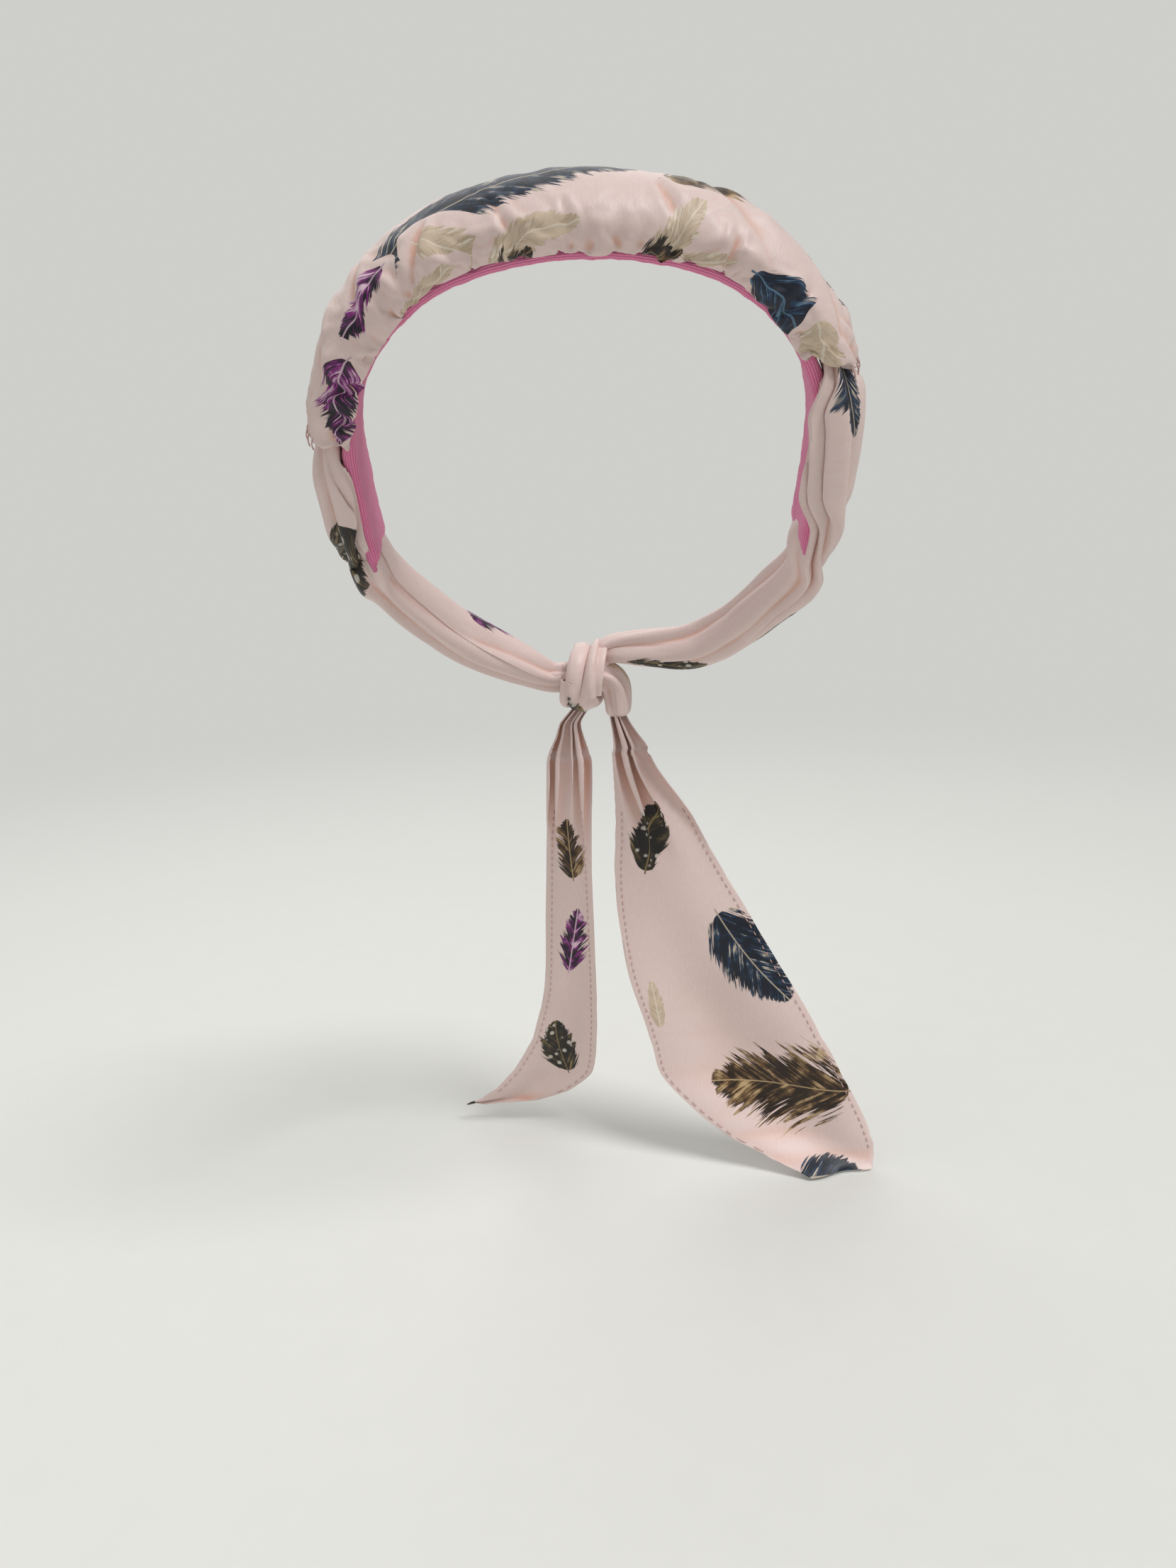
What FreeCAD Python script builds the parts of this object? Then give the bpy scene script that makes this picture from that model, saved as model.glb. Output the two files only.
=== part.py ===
"""Knotted satin headband, worn: a padded crown on a jersey band, ties to a nape knot, two hanging tails.

Millimetres. The origin is the middle of the head that the band is worn on, +Z up, the face towards -Y.
Left and right are the wearer's: left is +X.
"""
import FreeCAD, Part
import math
import os

V = FreeCAD.Vector

# Band: an elastic in a jersey tube, on a tilted plane that runs from the crown down behind the ears.
BAND_TILT = 30.0
CROWN_RISE = 75.5
HALF_GIRTH = 77.5
CROWN_RADIUS = 120.0
SHOULDER_RADIUS = 62.0
LEG_RADIUS = 358.0
LEG_LENGTH = 40.0
BAND_WIDTH = 26.0
BAND_THICKNESS = 5.0
ELASTIC_WIDTH = 20.0
ELASTIC_THICKNESS = 1.2
ELASTIC_GAP = 0.3
ELASTIC_INSET = 4.0

# Crown: satin panel over wadding, both on the band's outer face.
PANEL_PROFILE = [(-13.5, 0.0), (-17.0, 4.2), (-15.0, 10.7), (-6.0, 16.0), (4.0, 17.4),
                 (13.0, 14.7), (18.5, 7.7), (18.0, 3.2), (14.5, 0.0)]
PANEL_TAPER = [(0.0, 1.00, 1.00), (30.0, 0.98, 0.97), (60.0, 0.92, 0.84), (85.0, 0.86, 0.74),
               (110.0, 0.80, 0.66)]
PANEL_REACH = {"left": 92.0, "right": 106.0}
PANEL_SECTIONS = 6
PANEL_INNER_SCALE = 0.945
WADDING_SCALE = 0.88
PANEL_LIFT = 0.5
WADDING_LIFT = 0.7
WADDING_INSET = 4.0

# Stitches
THREAD_RADIUS = 0.3
GATHER_STITCH_LENGTH = 3.0
GATHER_STITCH_PITCH = 5.2
STITCH_SPREAD = 1.005
SEAM_STITCHES = 7
SEAM_STITCH_LENGTH = 4.0
SEAM_SPREAD = 60.0

# Ties: gathered satin bundles from under the crown's ends, down the band and round to the nape.
TIE_GAP = 0.5
TIE_BAND_STEPS = 7
TIE_BAND_SECTION = (11.5, 5.6)
TIE_CENTRES = {
    "left": [(82.0, 30.0, -36.5), (72.5, 46.5, -48.5), (58.5, 66.5, -62.0), (41.5, 80.0, -70.5)],
    "right": [(79.0, 32.0, -34.0), (70.0, 48.5, -45.5), (57.0, 67.0, -59.5), (41.5, 80.0, -70.5)],
}
TIE_HALF_WIDTHS = [10.8, 10.8, 10.4, 9.6, 7.6]
TIE_HALF_THICKNESSES = [5.6, 6.2, 6.6, 7.0, 6.8]

# Knot at the nape
KNOT_CENTRE = V(-3.0, 93.0, -83.0)
WRAP_RADIUS = 12.0
WRAP_HALF_WIDTH = 9.0
WRAP_HALF_THICKNESS = 4.0
CORE_RADIUS = 6.8
LEFT_TIE_END = V(12.5, -1.5, 11.5)
RIGHT_TIE_END = V(-18.5, -1.0, 1.6)

# Tails: a pinched neck under the knot, then a flat cloth with a bias-cut end.
NECK_BALL = 4.6
NECK_LENGTH = 15.0
NECK_FOOT = (9.0, 3.2)
TAIL_THICKNESS = 2.4
HINGE_DROP = 3.0
NECK_TOP = {"left": V(10.5, 94.5, -102.5), "right": V(-11.0, 95.5, -104.5)}
NECK_LEAN = {"left": V(0.30, 0.0, -1.0), "right": V(-0.10, 0.05, -1.0)}

# Each row is a level: height, inner edge x and y, outer edge x and y.
TAIL_LEVELS = {
    "left": [(-150.0, 7.0, 93.5, 43.0, 92.5), (-185.0, 7.0, 92.5, 62.0, 90.5),
             (-222.0, 11.0, 92.0, 82.5, 86.5), (-257.0, 20.5, 92.0, 101.0, 83.0),
             (-275.0, 25.0, 90.0, 110.5, 80.5), (-288.0, 37.0, 85.0, 117.0, 78.5),
             (-304.0, 56.0, 78.0, 123.0, 76.0), (-313.0, 77.0, 70.0, 124.5, 74.0),
             (-318.5, 93.0, 62.0, 123.0, 71.0)],
    "right": [(-150.0, -4.0, 98.0, -24.0, 101.0), (-195.0, -4.0, 101.0, -26.5, 107.0),
              (-240.0, -4.0, 106.0, -29.5, 112.0), (-268.0, -5.0, 110.0, -37.0, 117.0),
              (-286.0, -8.0, 114.0, -47.0, 122.0), (-298.0, -20.0, 119.0, -57.0, 126.0),
              (-306.0, -37.0, 125.0, -66.5, 129.0), (-309.5, -64.0, 128.5, -74.0, 130.5)],
}
HEM_INSET = 3.0
HEM_RADIUS = 0.35

SIDES = {"left": 1.0, "right": -1.0}


def arc_lengths():
    """Ends of the crown arc, the shoulder arc and the leg, measured along the band from the crown."""
    centre_gap = CROWN_RADIUS - SHOULDER_RADIUS
    crown_angle = math.asin((HALF_GIRTH - SHOULDER_RADIUS) / centre_gap)
    crown_end = CROWN_RADIUS * crown_angle
    shoulder_end = crown_end + SHOULDER_RADIUS * (math.pi / 2 - crown_angle)
    return crown_angle, crown_end, shoulder_end, shoulder_end + LEG_LENGTH


CROWN_ANGLE, CROWN_END, SHOULDER_END, BAND_END = arc_lengths()


def band_station(along):
    """Point on the band's inner line and the outward normal, untilted; along is signed, 0 at the crown."""
    side = 1.0 if along >= 0 else -1.0
    reach = abs(along)
    crown_centre = CROWN_RISE - CROWN_RADIUS
    shoulder_x = HALF_GIRTH - SHOULDER_RADIUS
    shoulder_z = crown_centre + shoulder_x / math.tan(CROWN_ANGLE)
    if reach <= CROWN_END:
        angle = reach / CROWN_RADIUS
        centre_x, centre_z, radius = 0.0, crown_centre, CROWN_RADIUS
    elif reach <= SHOULDER_END:
        angle = CROWN_ANGLE + (reach - CROWN_END) / SHOULDER_RADIUS
        centre_x, centre_z, radius = shoulder_x, shoulder_z, SHOULDER_RADIUS
    else:
        angle = math.pi / 2 + (reach - SHOULDER_END) / LEG_RADIUS
        centre_x, centre_z, radius = HALF_GIRTH - LEG_RADIUS, shoulder_z, LEG_RADIUS
    normal = V(side * math.sin(angle), 0, math.cos(angle))
    return V(side * centre_x, 0, centre_z) + normal * radius, normal


def on_band(along, out, across=0.0):
    """A point at a distance out from the band's inner line and across its width."""
    point, normal = band_station(along)
    return point + normal * out + V(0, across, 0)


def tilted(shape):
    """The shape turned from the band's own upright plane to where the band is worn."""
    turned = shape.copy()
    turned.rotate(V(0, 0, 0), V(1, 0, 0), BAND_TILT)
    return turned


def tilted_point(point):
    """The same turn for one point or direction."""
    return FreeCAD.Rotation(V(1, 0, 0), BAND_TILT).multVec(point)


def band_path(out, end):
    """The band's line as tangent arcs, moved out and cut at both ends."""
    stops = [-end, -SHOULDER_END, -CROWN_END, CROWN_END, SHOULDER_END, end]
    arcs = []
    for start, stop in zip(stops, stops[1:]):
        middle = (start + stop) / 2
        arcs.append(Part.Arc(on_band(start, out), on_band(middle, out), on_band(stop, out)).toShape())
    return Part.Wire(arcs)


def flat_strip(width, thickness, end, rounded):
    """A strip along the band's line, centred in the band's thickness, with square or full-round edges."""
    middle = BAND_THICKNESS / 2
    half = thickness / 2
    straight = width / 2 - (half if rounded else 0.0)
    corners = [on_band(-end, middle - half, -straight), on_band(-end, middle - half, straight),
               on_band(-end, middle + half, straight), on_band(-end, middle + half, -straight)]
    edges = [Part.makeLine(corners[0], corners[1])]
    if rounded:
        edges.append(Part.Arc(corners[1], on_band(-end, middle, width / 2), corners[2]).toShape())
    else:
        edges.append(Part.makeLine(corners[1], corners[2]))
    edges.append(Part.makeLine(corners[2], corners[3]))
    if rounded:
        edges.append(Part.Arc(corners[3], on_band(-end, middle, -width / 2), corners[0]).toShape())
    else:
        edges.append(Part.makeLine(corners[3], corners[0]))
    return band_path(middle, end).makePipe(Part.Face(Part.Wire(edges)))


def band_elastic():
    """Flat elastic that grips the head."""
    return flat_strip(ELASTIC_WIDTH, ELASTIC_THICKNESS, BAND_END - ELASTIC_INSET - ELASTIC_GAP, False)


def band_cover():
    """Padded jersey tube round the elastic, closed at both ends."""
    outside = flat_strip(BAND_WIDTH, BAND_THICKNESS, BAND_END, True)
    pocket = flat_strip(ELASTIC_WIDTH + 2 * ELASTIC_GAP, ELASTIC_THICKNESS + 2 * ELASTIC_GAP,
                        BAND_END - ELASTIC_INSET, False)
    return outside.cut(pocket)


def spline(points):
    """An open smooth edge through points."""
    curve = Part.BSplineCurve()
    curve.interpolate(points)
    return curve.toShape()


def panel_scale(reach):
    """The crown's width and height scales at a distance from the middle."""
    for (near, low_width, low_height), (far, high_width, high_height) in zip(PANEL_TAPER, PANEL_TAPER[1:]):
        if reach <= far:
            share = (reach - near) / (far - near)
            return low_width + (high_width - low_width) * share, low_height + (high_height - low_height) * share
    return PANEL_TAPER[-1][1:]


def panel_stations(inset):
    """Stations across the crown from the right end to the left, each with its scales."""
    stations = []
    for name in ("right", "left"):
        reach = PANEL_REACH[name] - inset
        for index in range(PANEL_SECTIONS + 1):
            along = SIDES[name] * reach * index / PANEL_SECTIONS
            stations.append((along,) + panel_scale(abs(along)))
    return sorted(set(stations))


def profile_points(station, scale, lift):
    """The crown's outer profile at one station, in place on the band."""
    along, width, height = station
    points = []
    for across, rise in PANEL_PROFILE:
        out = BAND_THICKNESS + lift + rise * height * scale
        points.append(on_band(along, out, across * width * scale))
    return points


def panel_wire(station):
    """The satin's closed section: outer line, front lip, inner line, back lip."""
    outer = profile_points(station, 1.0, PANEL_LIFT)
    inner = profile_points(station, PANEL_INNER_SCALE, PANEL_LIFT)
    return Part.Wire([spline(outer), Part.makeLine(outer[-1], inner[-1]), spline(inner[::-1]),
                      Part.makeLine(inner[0], outer[0])])


def wadding_wire(station):
    """The wadding's closed section: its arch and its flat base on the band."""
    arch = profile_points(station, WADDING_SCALE, WADDING_LIFT)
    return Part.Wire([spline(arch), Part.makeLine(arch[-1], arch[0])])


def crown_panel():
    """Satin panel that arches over the wadding from the band's front edge to its back edge."""
    return Part.makeLoft([panel_wire(station) for station in panel_stations(0.0)], True, False)


def crown_wadding():
    """Soft filling under the satin, a little short of its ends."""
    return Part.makeLoft([wadding_wire(station) for station in panel_stations(WADDING_INSET)], True, False)


def thread(start, stop):
    """One straight stitch."""
    run = stop - start
    return Part.makeCylinder(THREAD_RADIUS, run.Length, start, run)


def gather_stitches(edge):
    """A row of stitches that holds the gathered satin on the band; edge is -1 at the front, 1 at the back."""
    lip = PANEL_PROFILE[0] if edge < 0 else PANEL_PROFILE[-1]
    span = PANEL_REACH["left"] + PANEL_REACH["right"]
    count = int(span / GATHER_STITCH_PITCH)
    half = GATHER_STITCH_LENGTH / 2
    out = BAND_THICKNESS + PANEL_LIFT + THREAD_RADIUS
    stitches = []
    for index in range(count):
        along = -PANEL_REACH["right"] + (index + 0.5) * span / count
        across = lip[0] * panel_scale(abs(along))[0] * STITCH_SPREAD
        stitches.append(thread(on_band(along - half, out, across), on_band(along + half, out, across)))
    return Part.makeCompound(stitches)


def ellipse_wire(centre, wide, thick, half_width, half_thickness):
    """A closed oval section from its centre and its two axes."""
    points = []
    for step in range(12):
        angle = 2 * math.pi * step / 12
        points.append(centre + wide * (half_width * math.cos(angle)) + thick * (half_thickness * math.sin(angle)))
    curve = Part.BSplineCurve()
    curve.interpolate(Points=points, PeriodicFlag=True)
    return Part.Wire(curve.toShape())


def unit(vector):
    """The vector at length one."""
    return vector * (1.0 / vector.Length)


def bundle(centres, outward, half_widths, half_thicknesses, onward=None):
    """A gathered bundle of cloth: a loft of ovals along its centre line, wide in the head's surface."""
    wires = []
    for index, centre in enumerate(centres):
        before = centres[max(index - 1, 0)]
        after = centres[min(index + 1, len(centres) - 1)]
        forward = onward if onward and index == 0 else unit(after - before)
        wide = unit(forward.cross(outward[index]))
        thick = unit(wide.cross(forward))
        wires.append(ellipse_wire(centre, wide, thick, half_widths[index], half_thicknesses[index]))
    return Part.makeLoft(wires, True, True)


def band_direction(reach):
    """The way the left half of the band runs at a distance from the crown, in place."""
    return unit(tilted_point(on_band(reach + 0.5, 0) - on_band(reach - 0.5, 0)))


def on_side(shape, side):
    """The shape as it is on the left, or its mirror image on the right."""
    return shape if side > 0 else shape.mirror(V(0, 0, 0), V(1, 0, 0))


def tie(name):
    """Satin tie from under the crown's end, down the band, and round the back of the head to the knot."""
    out = BAND_THICKNESS + 2 * PANEL_LIFT + TIE_BAND_SECTION[1]
    start = PANEL_REACH[name] + TIE_GAP
    centres = []
    outwards = []
    for step in range(TIE_BAND_STEPS):
        reach = start + (BAND_END - start) * step / (TIE_BAND_STEPS - 1)
        centres.append(tilted_point(on_band(reach, out)))
        outwards.append(tilted_point(band_station(reach)[1]))
    for x, y, z in TIE_CENTRES[name]:
        centres.append(V(x, y, z))
        outwards.append(V(x, y, 0))
    if name == "left":
        centres.append(KNOT_CENTRE + LEFT_TIE_END)
    else:
        end = KNOT_CENTRE + RIGHT_TIE_END
        centres.append(V(-end.x, end.y, end.z))
    outwards.append(V(0, 1, 0))
    half_widths = [TIE_BAND_SECTION[0]] * TIE_BAND_STEPS + TIE_HALF_WIDTHS
    half_thicknesses = [TIE_BAND_SECTION[1]] * TIE_BAND_STEPS + TIE_HALF_THICKNESSES
    cloth = bundle(centres, outwards, half_widths, half_thicknesses, band_direction(start))
    return on_side(cloth, SIDES[name])


def side_stitches(name):
    """Stitches over the join of the crown panel and the tie, round the outside."""
    reach = PANEL_REACH[name] + TIE_GAP / 2
    half = band_direction(reach) * (SEAM_STITCH_LENGTH / 2)
    out = BAND_THICKNESS + 2 * PANEL_LIFT + TIE_BAND_SECTION[1]
    stitches = []
    for index in range(SEAM_STITCHES):
        angle = math.radians(-SEAM_SPREAD + 2 * SEAM_SPREAD * index / (SEAM_STITCHES - 1))
        across = TIE_BAND_SECTION[0] * math.sin(angle)
        rise = TIE_BAND_SECTION[1] * math.cos(angle)
        rim = tilted_point(on_band(reach, out + rise, across))
        stitches.append(thread(rim - half, rim + half))
    return on_side(Part.makeCompound(stitches), SIDES[name])


def knot_wrap():
    """The left tie's turn round the knot: a soft ring about the right tie."""
    centre = KNOT_CENTRE + V(0, 0, WRAP_RADIUS)
    section = ellipse_wire(centre, V(1, 0, 0), V(0, 0, 1), WRAP_HALF_WIDTH, WRAP_HALF_THICKNESS)
    return Part.Face(section).revolve(KNOT_CENTRE, V(1, 0, 0), 360)


def knot_core():
    """The right tie's pass through the ring, turning down on the left to its tail."""
    steps = [V(-13.5, -0.4, 0.6), V(-8.0, 0, 0), V(0, 0, 0), V(8.5, 0, 0), V(13.5, 0.8, -4.5),
             V(14.2, 1.2, -11.0)]
    centres = [KNOT_CENTRE + step for step in steps]
    outwards = [V(0, 1, 0)] * len(steps)
    half_widths = [CORE_RADIUS, CORE_RADIUS, CORE_RADIUS, CORE_RADIUS - 0.6, 5.6, 5.2]
    return bundle(centres, outwards, half_widths, half_widths)


def neck_line(name):
    """Top and foot of a tail's neck."""
    top = NECK_TOP[name]
    return top, top + unit(NECK_LEAN[name]) * NECK_LENGTH


def hinge_line(name):
    """The line that a tail folds about, just under its neck."""
    return neck_line(name)[1] + V(0, 0, -HINGE_DROP)


def tail_neck(name):
    """Pinched cloth between the knot and the tail, round at the top where it turns."""
    top, foot = neck_line(name)
    ball = Part.makeSphere(NECK_BALL, top)
    across = V(1, 0, 0)
    depth = V(0, 1, 0)
    waist = top + (foot - top) * 0.25
    sections = [ellipse_wire(waist, across, depth, NECK_BALL * 0.9, NECK_BALL * 0.85),
                ellipse_wire(top + (foot - top) * 0.6, across, depth, 6.4, 4.0),
                ellipse_wire(foot, across, depth, NECK_FOOT[0], NECK_FOOT[1])]
    return ball.fuse(Part.makeLoft(sections, True, False)).removeSplitter()


def level_wire(level):
    """A tail's thin section at one height."""
    height, inner_x, inner_y, outer_x, outer_y = level
    half = TAIL_THICKNESS / 2
    points = [V(inner_x, inner_y - half, height), V(outer_x, outer_y - half, height),
              V(outer_x, outer_y + half, height), V(inner_x, inner_y + half, height)]
    return Part.makePolygon(points + points[:1])


def tail_levels(name):
    """All levels of a tail, from the hinge line down."""
    hinge = hinge_line(name)
    side = SIDES[name]
    inner = hinge.x - side * NECK_FOOT[0]
    outer = hinge.x + side * NECK_FOOT[0]
    return [(hinge.z, inner, hinge.y, outer, hinge.y)] + TAIL_LEVELS[name]


def tail(name):
    """Flat satin tail with a bias-cut end."""
    return Part.makeLoft([level_wire(level) for level in tail_levels(name)], True, True)


def tail_hem(name):
    """Sewing thread of the rolled hem: a line of thread along both long edges, on the cloth's back."""
    runs = []
    levels = tail_levels(name)[1:]
    side = SIDES[name]
    lift = TAIL_THICKNESS / 2 + HEM_RADIUS
    inner = [V(row[1] + side * HEM_INSET, row[2] + lift, row[0]) for row in levels[:-2]]
    outer = [V(row[3] - side * HEM_INSET, row[4] + lift, row[0]) for row in levels[:-1]]
    for points in (inner, outer):
        for start, stop in zip(points, points[1:]):
            run = stop - start
            inset = unit(run) * HEM_RADIUS
            runs.append(Part.makeCylinder(HEM_RADIUS, run.Length - 2 * HEM_RADIUS, start + inset, run))
    return Part.makeCompound(runs)


def main():
    """Makes every piece and writes one file for each."""
    pieces = {
        "band_elastic": tilted(band_elastic()),
        "band_cover": tilted(band_cover()),
        "crown_wadding": tilted(crown_wadding()),
        "crown_panel": tilted(crown_panel()),
        "front_gather_stitches": tilted(gather_stitches(-1)),
        "back_gather_stitches": tilted(gather_stitches(1)),
        "knot_wrap": knot_wrap(),
        "knot_core": knot_core(),
    }
    for name in SIDES:
        pieces[name + "_tie"] = tie(name)
        pieces[name + "_side_stitches"] = side_stitches(name)
        pieces[name + "_tail_neck"] = tail_neck(name)
        pieces[name + "_tail"] = tail(name)
        pieces[name + "_tail_hem_thread"] = tail_hem(name)
    os.makedirs("parts", exist_ok=True)
    for node, shape in pieces.items():
        box = shape.BoundBox
        print(f"{node:24s} solids {len(shape.Solids):3d} valid {shape.isValid()} volume {shape.Volume:10.1f}",
              f"x {box.XMin:7.1f} {box.XMax:7.1f} y {box.YMin:7.1f} {box.YMax:7.1f}",
              f"z {box.ZMin:7.1f} {box.ZMax:7.1f}")
        shape.exportStep(f"parts/{node}.step")


main()
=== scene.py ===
"""Knotted satin headband, worn: satin crown over wadding, jersey band, ties, nape knot and two tails.

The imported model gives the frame. Each operator makes the finished cloth, thread or filling that stands for
one group of its parts. Lengths in the settings and in the working are millimetres, and meshes are metres.
"""
import math
import random

import bmesh
import bpy
from mathutils import Matrix, Vector, noise


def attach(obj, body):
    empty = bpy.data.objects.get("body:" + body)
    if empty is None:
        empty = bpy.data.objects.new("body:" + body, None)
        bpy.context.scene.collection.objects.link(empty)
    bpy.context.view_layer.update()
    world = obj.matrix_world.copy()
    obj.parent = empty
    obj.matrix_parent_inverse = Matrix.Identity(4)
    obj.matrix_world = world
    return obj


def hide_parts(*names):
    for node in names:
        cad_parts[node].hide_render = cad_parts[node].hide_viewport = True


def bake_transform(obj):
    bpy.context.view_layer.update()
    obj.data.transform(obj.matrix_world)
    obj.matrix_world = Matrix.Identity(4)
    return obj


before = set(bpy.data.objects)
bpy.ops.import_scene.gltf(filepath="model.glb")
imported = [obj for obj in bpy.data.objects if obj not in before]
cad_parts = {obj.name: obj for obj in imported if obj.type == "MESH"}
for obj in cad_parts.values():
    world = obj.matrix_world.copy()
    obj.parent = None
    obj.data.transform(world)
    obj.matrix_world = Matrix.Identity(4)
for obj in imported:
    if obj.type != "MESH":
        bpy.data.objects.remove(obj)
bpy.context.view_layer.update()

bl_info = {
    "name": "Knotted Satin Headband",
    "version": (1, 0, 0),
    "blender": (4, 5, 0),
    "location": "View3D > Sidebar > Headband",
    "description": "Builds a padded satin headband with a nape knot and two hanging tails",
    "category": "Add Mesh",
}

MM = 0.001

# The band's line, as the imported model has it.
BAND_TILT = 30.0
CROWN_RISE = 75.5
HALF_GIRTH = 77.5
CROWN_RADIUS = 120.0
SHOULDER_RADIUS = 62.0
LEG_RADIUS = 358.0
LEG_LENGTH = 40.0
BAND_WIDTH = 26.0
BAND_THICKNESS = 5.0
CROWN_ANGLE = math.asin((HALF_GIRTH - SHOULDER_RADIUS) / (CROWN_RADIUS - SHOULDER_RADIUS))
CROWN_END = CROWN_RADIUS * CROWN_ANGLE
SHOULDER_END = CROWN_END + SHOULDER_RADIUS * (math.pi / 2 - CROWN_ANGLE)
BAND_END = SHOULDER_END + LEG_LENGTH

# The crown's outer profile: across the band and out from its inner line.
CROWN_PROFILE = [(-13.9, 5.0), (-17.4, 8.2), (-15.6, 15.6), (-6.0, 21.3), (4.0, 22.7),
                 (13.0, 20.0), (18.4, 13.0), (18.0, 8.6), (14.8, 3.2)]
# Area of the crown's cut over its rectangle: the way round the profile is shorter towards the tapered ends.
# The crown's cloth stays this far out of the band: its two lips beyond the edges, the rest above the face.
FRONT_LIP = -14.0
BACK_LIP = 14.3
LIP_START = 0.96
BAND_CLEAR_HALF = 13.4
COVER_TOP = 5.6
LIP_DROP = 4.2
LEFT_SKEW = 11.0
CROWN_TAPER = [(0.0, 1.00, 1.00), (30.0, 0.98, 0.97), (60.0, 0.92, 0.84), (85.0, 0.86, 0.74),
               (112.0, 0.80, 0.66)]
RIGHT_REACH = 106.0
LEFT_REACH = 92.0

# Long soft creases in the crown: start and end as (along the band, share across), depth, width.
CROWN_CREASES = [
    ((34.0, 0.62), (58.0, 0.06), 2.2, 4.5), ((20.0, 0.45), (30.0, 0.02), 1.8, 3.0),
    ((52.0, 0.85), (84.0, 0.25), 1.6, 4.0), ((-72.0, 0.60), (-96.0, 0.02), 2.6, 4.0),
    ((-58.0, 0.55), (-70.0, 0.0), 2.0, 3.4), ((-88.0, 0.9), (-106.0, 0.35), 2.0, 4.0),
    ((-40.0, 0.36), (-52.0, 0.0), 2.6, 2.6), ((-22.0, 0.36), (-14.0, 0.0), 2.2, 2.4),
    ((-4.0, 0.30), (0.0, 0.0), 1.6, 2.2), ((66.0, 0.50), (90.0, 0.10), 1.8, 3.6),
    ((10.0, 0.80), (-18.0, 1.0), 1.8, 4.0), ((-30.0, 0.82), (-52.0, 1.0), 1.8, 4.0),
    ((44.0, 0.80), (60.0, 1.0), 1.8, 4.0), ((76.0, 0.7), (92.0, 0.95), 1.6, 4.0),
]

# Points down a tie behind the ear, and its half widths and half thicknesses from there to the knot.
TIE_CENTRES = {
    "left": [(82.0, 30.0, -36.5), (72.5, 46.5, -48.5), (58.5, 66.5, -62.0), (41.5, 80.0, -70.5)],
    "right": [(79.0, 32.0, -34.0), (70.0, 48.5, -45.5), (57.0, 67.0, -59.5), (41.5, 80.0, -70.5)],
}
TIE_HALF_WIDTHS = [10.8, 10.8, 10.4, 9.6, 7.6]
TIE_HALF_THICKNESSES = [6.4, 6.2, 6.6, 7.0, 6.8]
TIE_BAND_SECTION = (11.5, 5.8)
TIE_FORWARD = {"left": 8.0, "right": 6.0}
# How far a tie's front edge is tucked in beside the band, and where along the band that starts, by side.
TIE_HOOK = 6.5
TIE_HOOK_START = {1.0: 84.0, -1.0: 110.0}
TIE_EDGE = 13.5
TIE_GAP = 0.8
# Cloth width of a rolled tie or knot over the way round the roll, for its folds and overlap.
FOLD_ALLOWANCE = 1.25
KNOT_CENTRE = Vector((-3.0, 93.0, -83.0))
TIE_ENDS = {"left": Vector((12.5, -1.5, 11.5)), "right": Vector((-18.5, -1.0, 1.6))}
TIE_TUCK = {"left": Vector((-7.5, 0.5, -7.0)), "right": Vector((8.5, 0.8, -1.4))}
TIE_TUCK_SIZE = {"left": (4.2, 4.0), "right": (6.2, 6.0)}
NECK_TOP = {"left": Vector((10.5, 94.5, -102.5)), "right": Vector((-11.0, 95.5, -104.5))}
NECK_TUCK = {"left": Vector((1.5, -0.5, 0.0)), "right": Vector((6.5, -2.0, 0.0))}
NECK_LEAN = {"left": Vector((0.30, 0.0, -1.0)), "right": Vector((-0.10, 0.05, -1.0))}
NECK_LENGTH = 15.0
HINGE_DROP = 3.0

# Rows of a tail: height, inner edge x and y, outer edge x and y.
TAIL_LEVELS = {
    "left": [(-150.0, 7.0, 93.5, 43.0, 92.5), (-185.0, 7.0, 92.5, 62.0, 90.5),
             (-222.0, 11.0, 92.0, 82.5, 86.5), (-257.0, 20.5, 92.0, 101.0, 83.0),
             (-275.0, 25.0, 90.0, 110.5, 80.5), (-288.0, 37.0, 85.0, 117.0, 78.5),
             (-304.0, 56.0, 78.0, 123.0, 76.0), (-313.0, 77.0, 70.0, 124.5, 74.0),
             (-318.5, 93.0, 62.0, 123.0, 71.0)],
    "right": [(-150.0, -4.0, 98.0, -24.0, 101.0), (-195.0, -4.0, 101.0, -26.5, 107.0),
              (-240.0, -4.0, 106.0, -29.5, 112.0), (-268.0, -5.0, 110.0, -37.0, 117.0),
              (-286.0, -8.0, 114.0, -47.0, 122.0), (-298.0, -20.0, 119.0, -57.0, 126.0),
              (-306.0, -37.0, 125.0, -66.5, 129.0), (-309.5, -64.0, 128.5, -74.0, 130.5)],
}
SIDES = {"left": 1.0, "right": -1.0}
# Faces that meet at more than this keep a crisp edge, as at the rim of a cloth.
RIM_ANGLE = math.radians(80.0)
# Flat widths, in metres, of the cloth of a tie and of its tail, and of the jersey round the band.
ELASTIC_WIDTH = 20.0
ELASTIC_THICKNESS = 1.1
ELASTIC_SETBACK = 4.3
PLEATS = 3.5
PLEAT_DEPTH = {"left": 3.0, "right": 2.0}
# A tail's row at the neck's foot, where its own cloth starts.
HEM_PITCH = 3.3
HEM_STITCH = 2.2
HEM_INSET = 0.7
HEM_LIFT = {-1.0: 0.52, 1.0: 1.30}
FLOOR_HEIGHT = -320.0


# ---------------------------------------------------------------- settings

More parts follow.
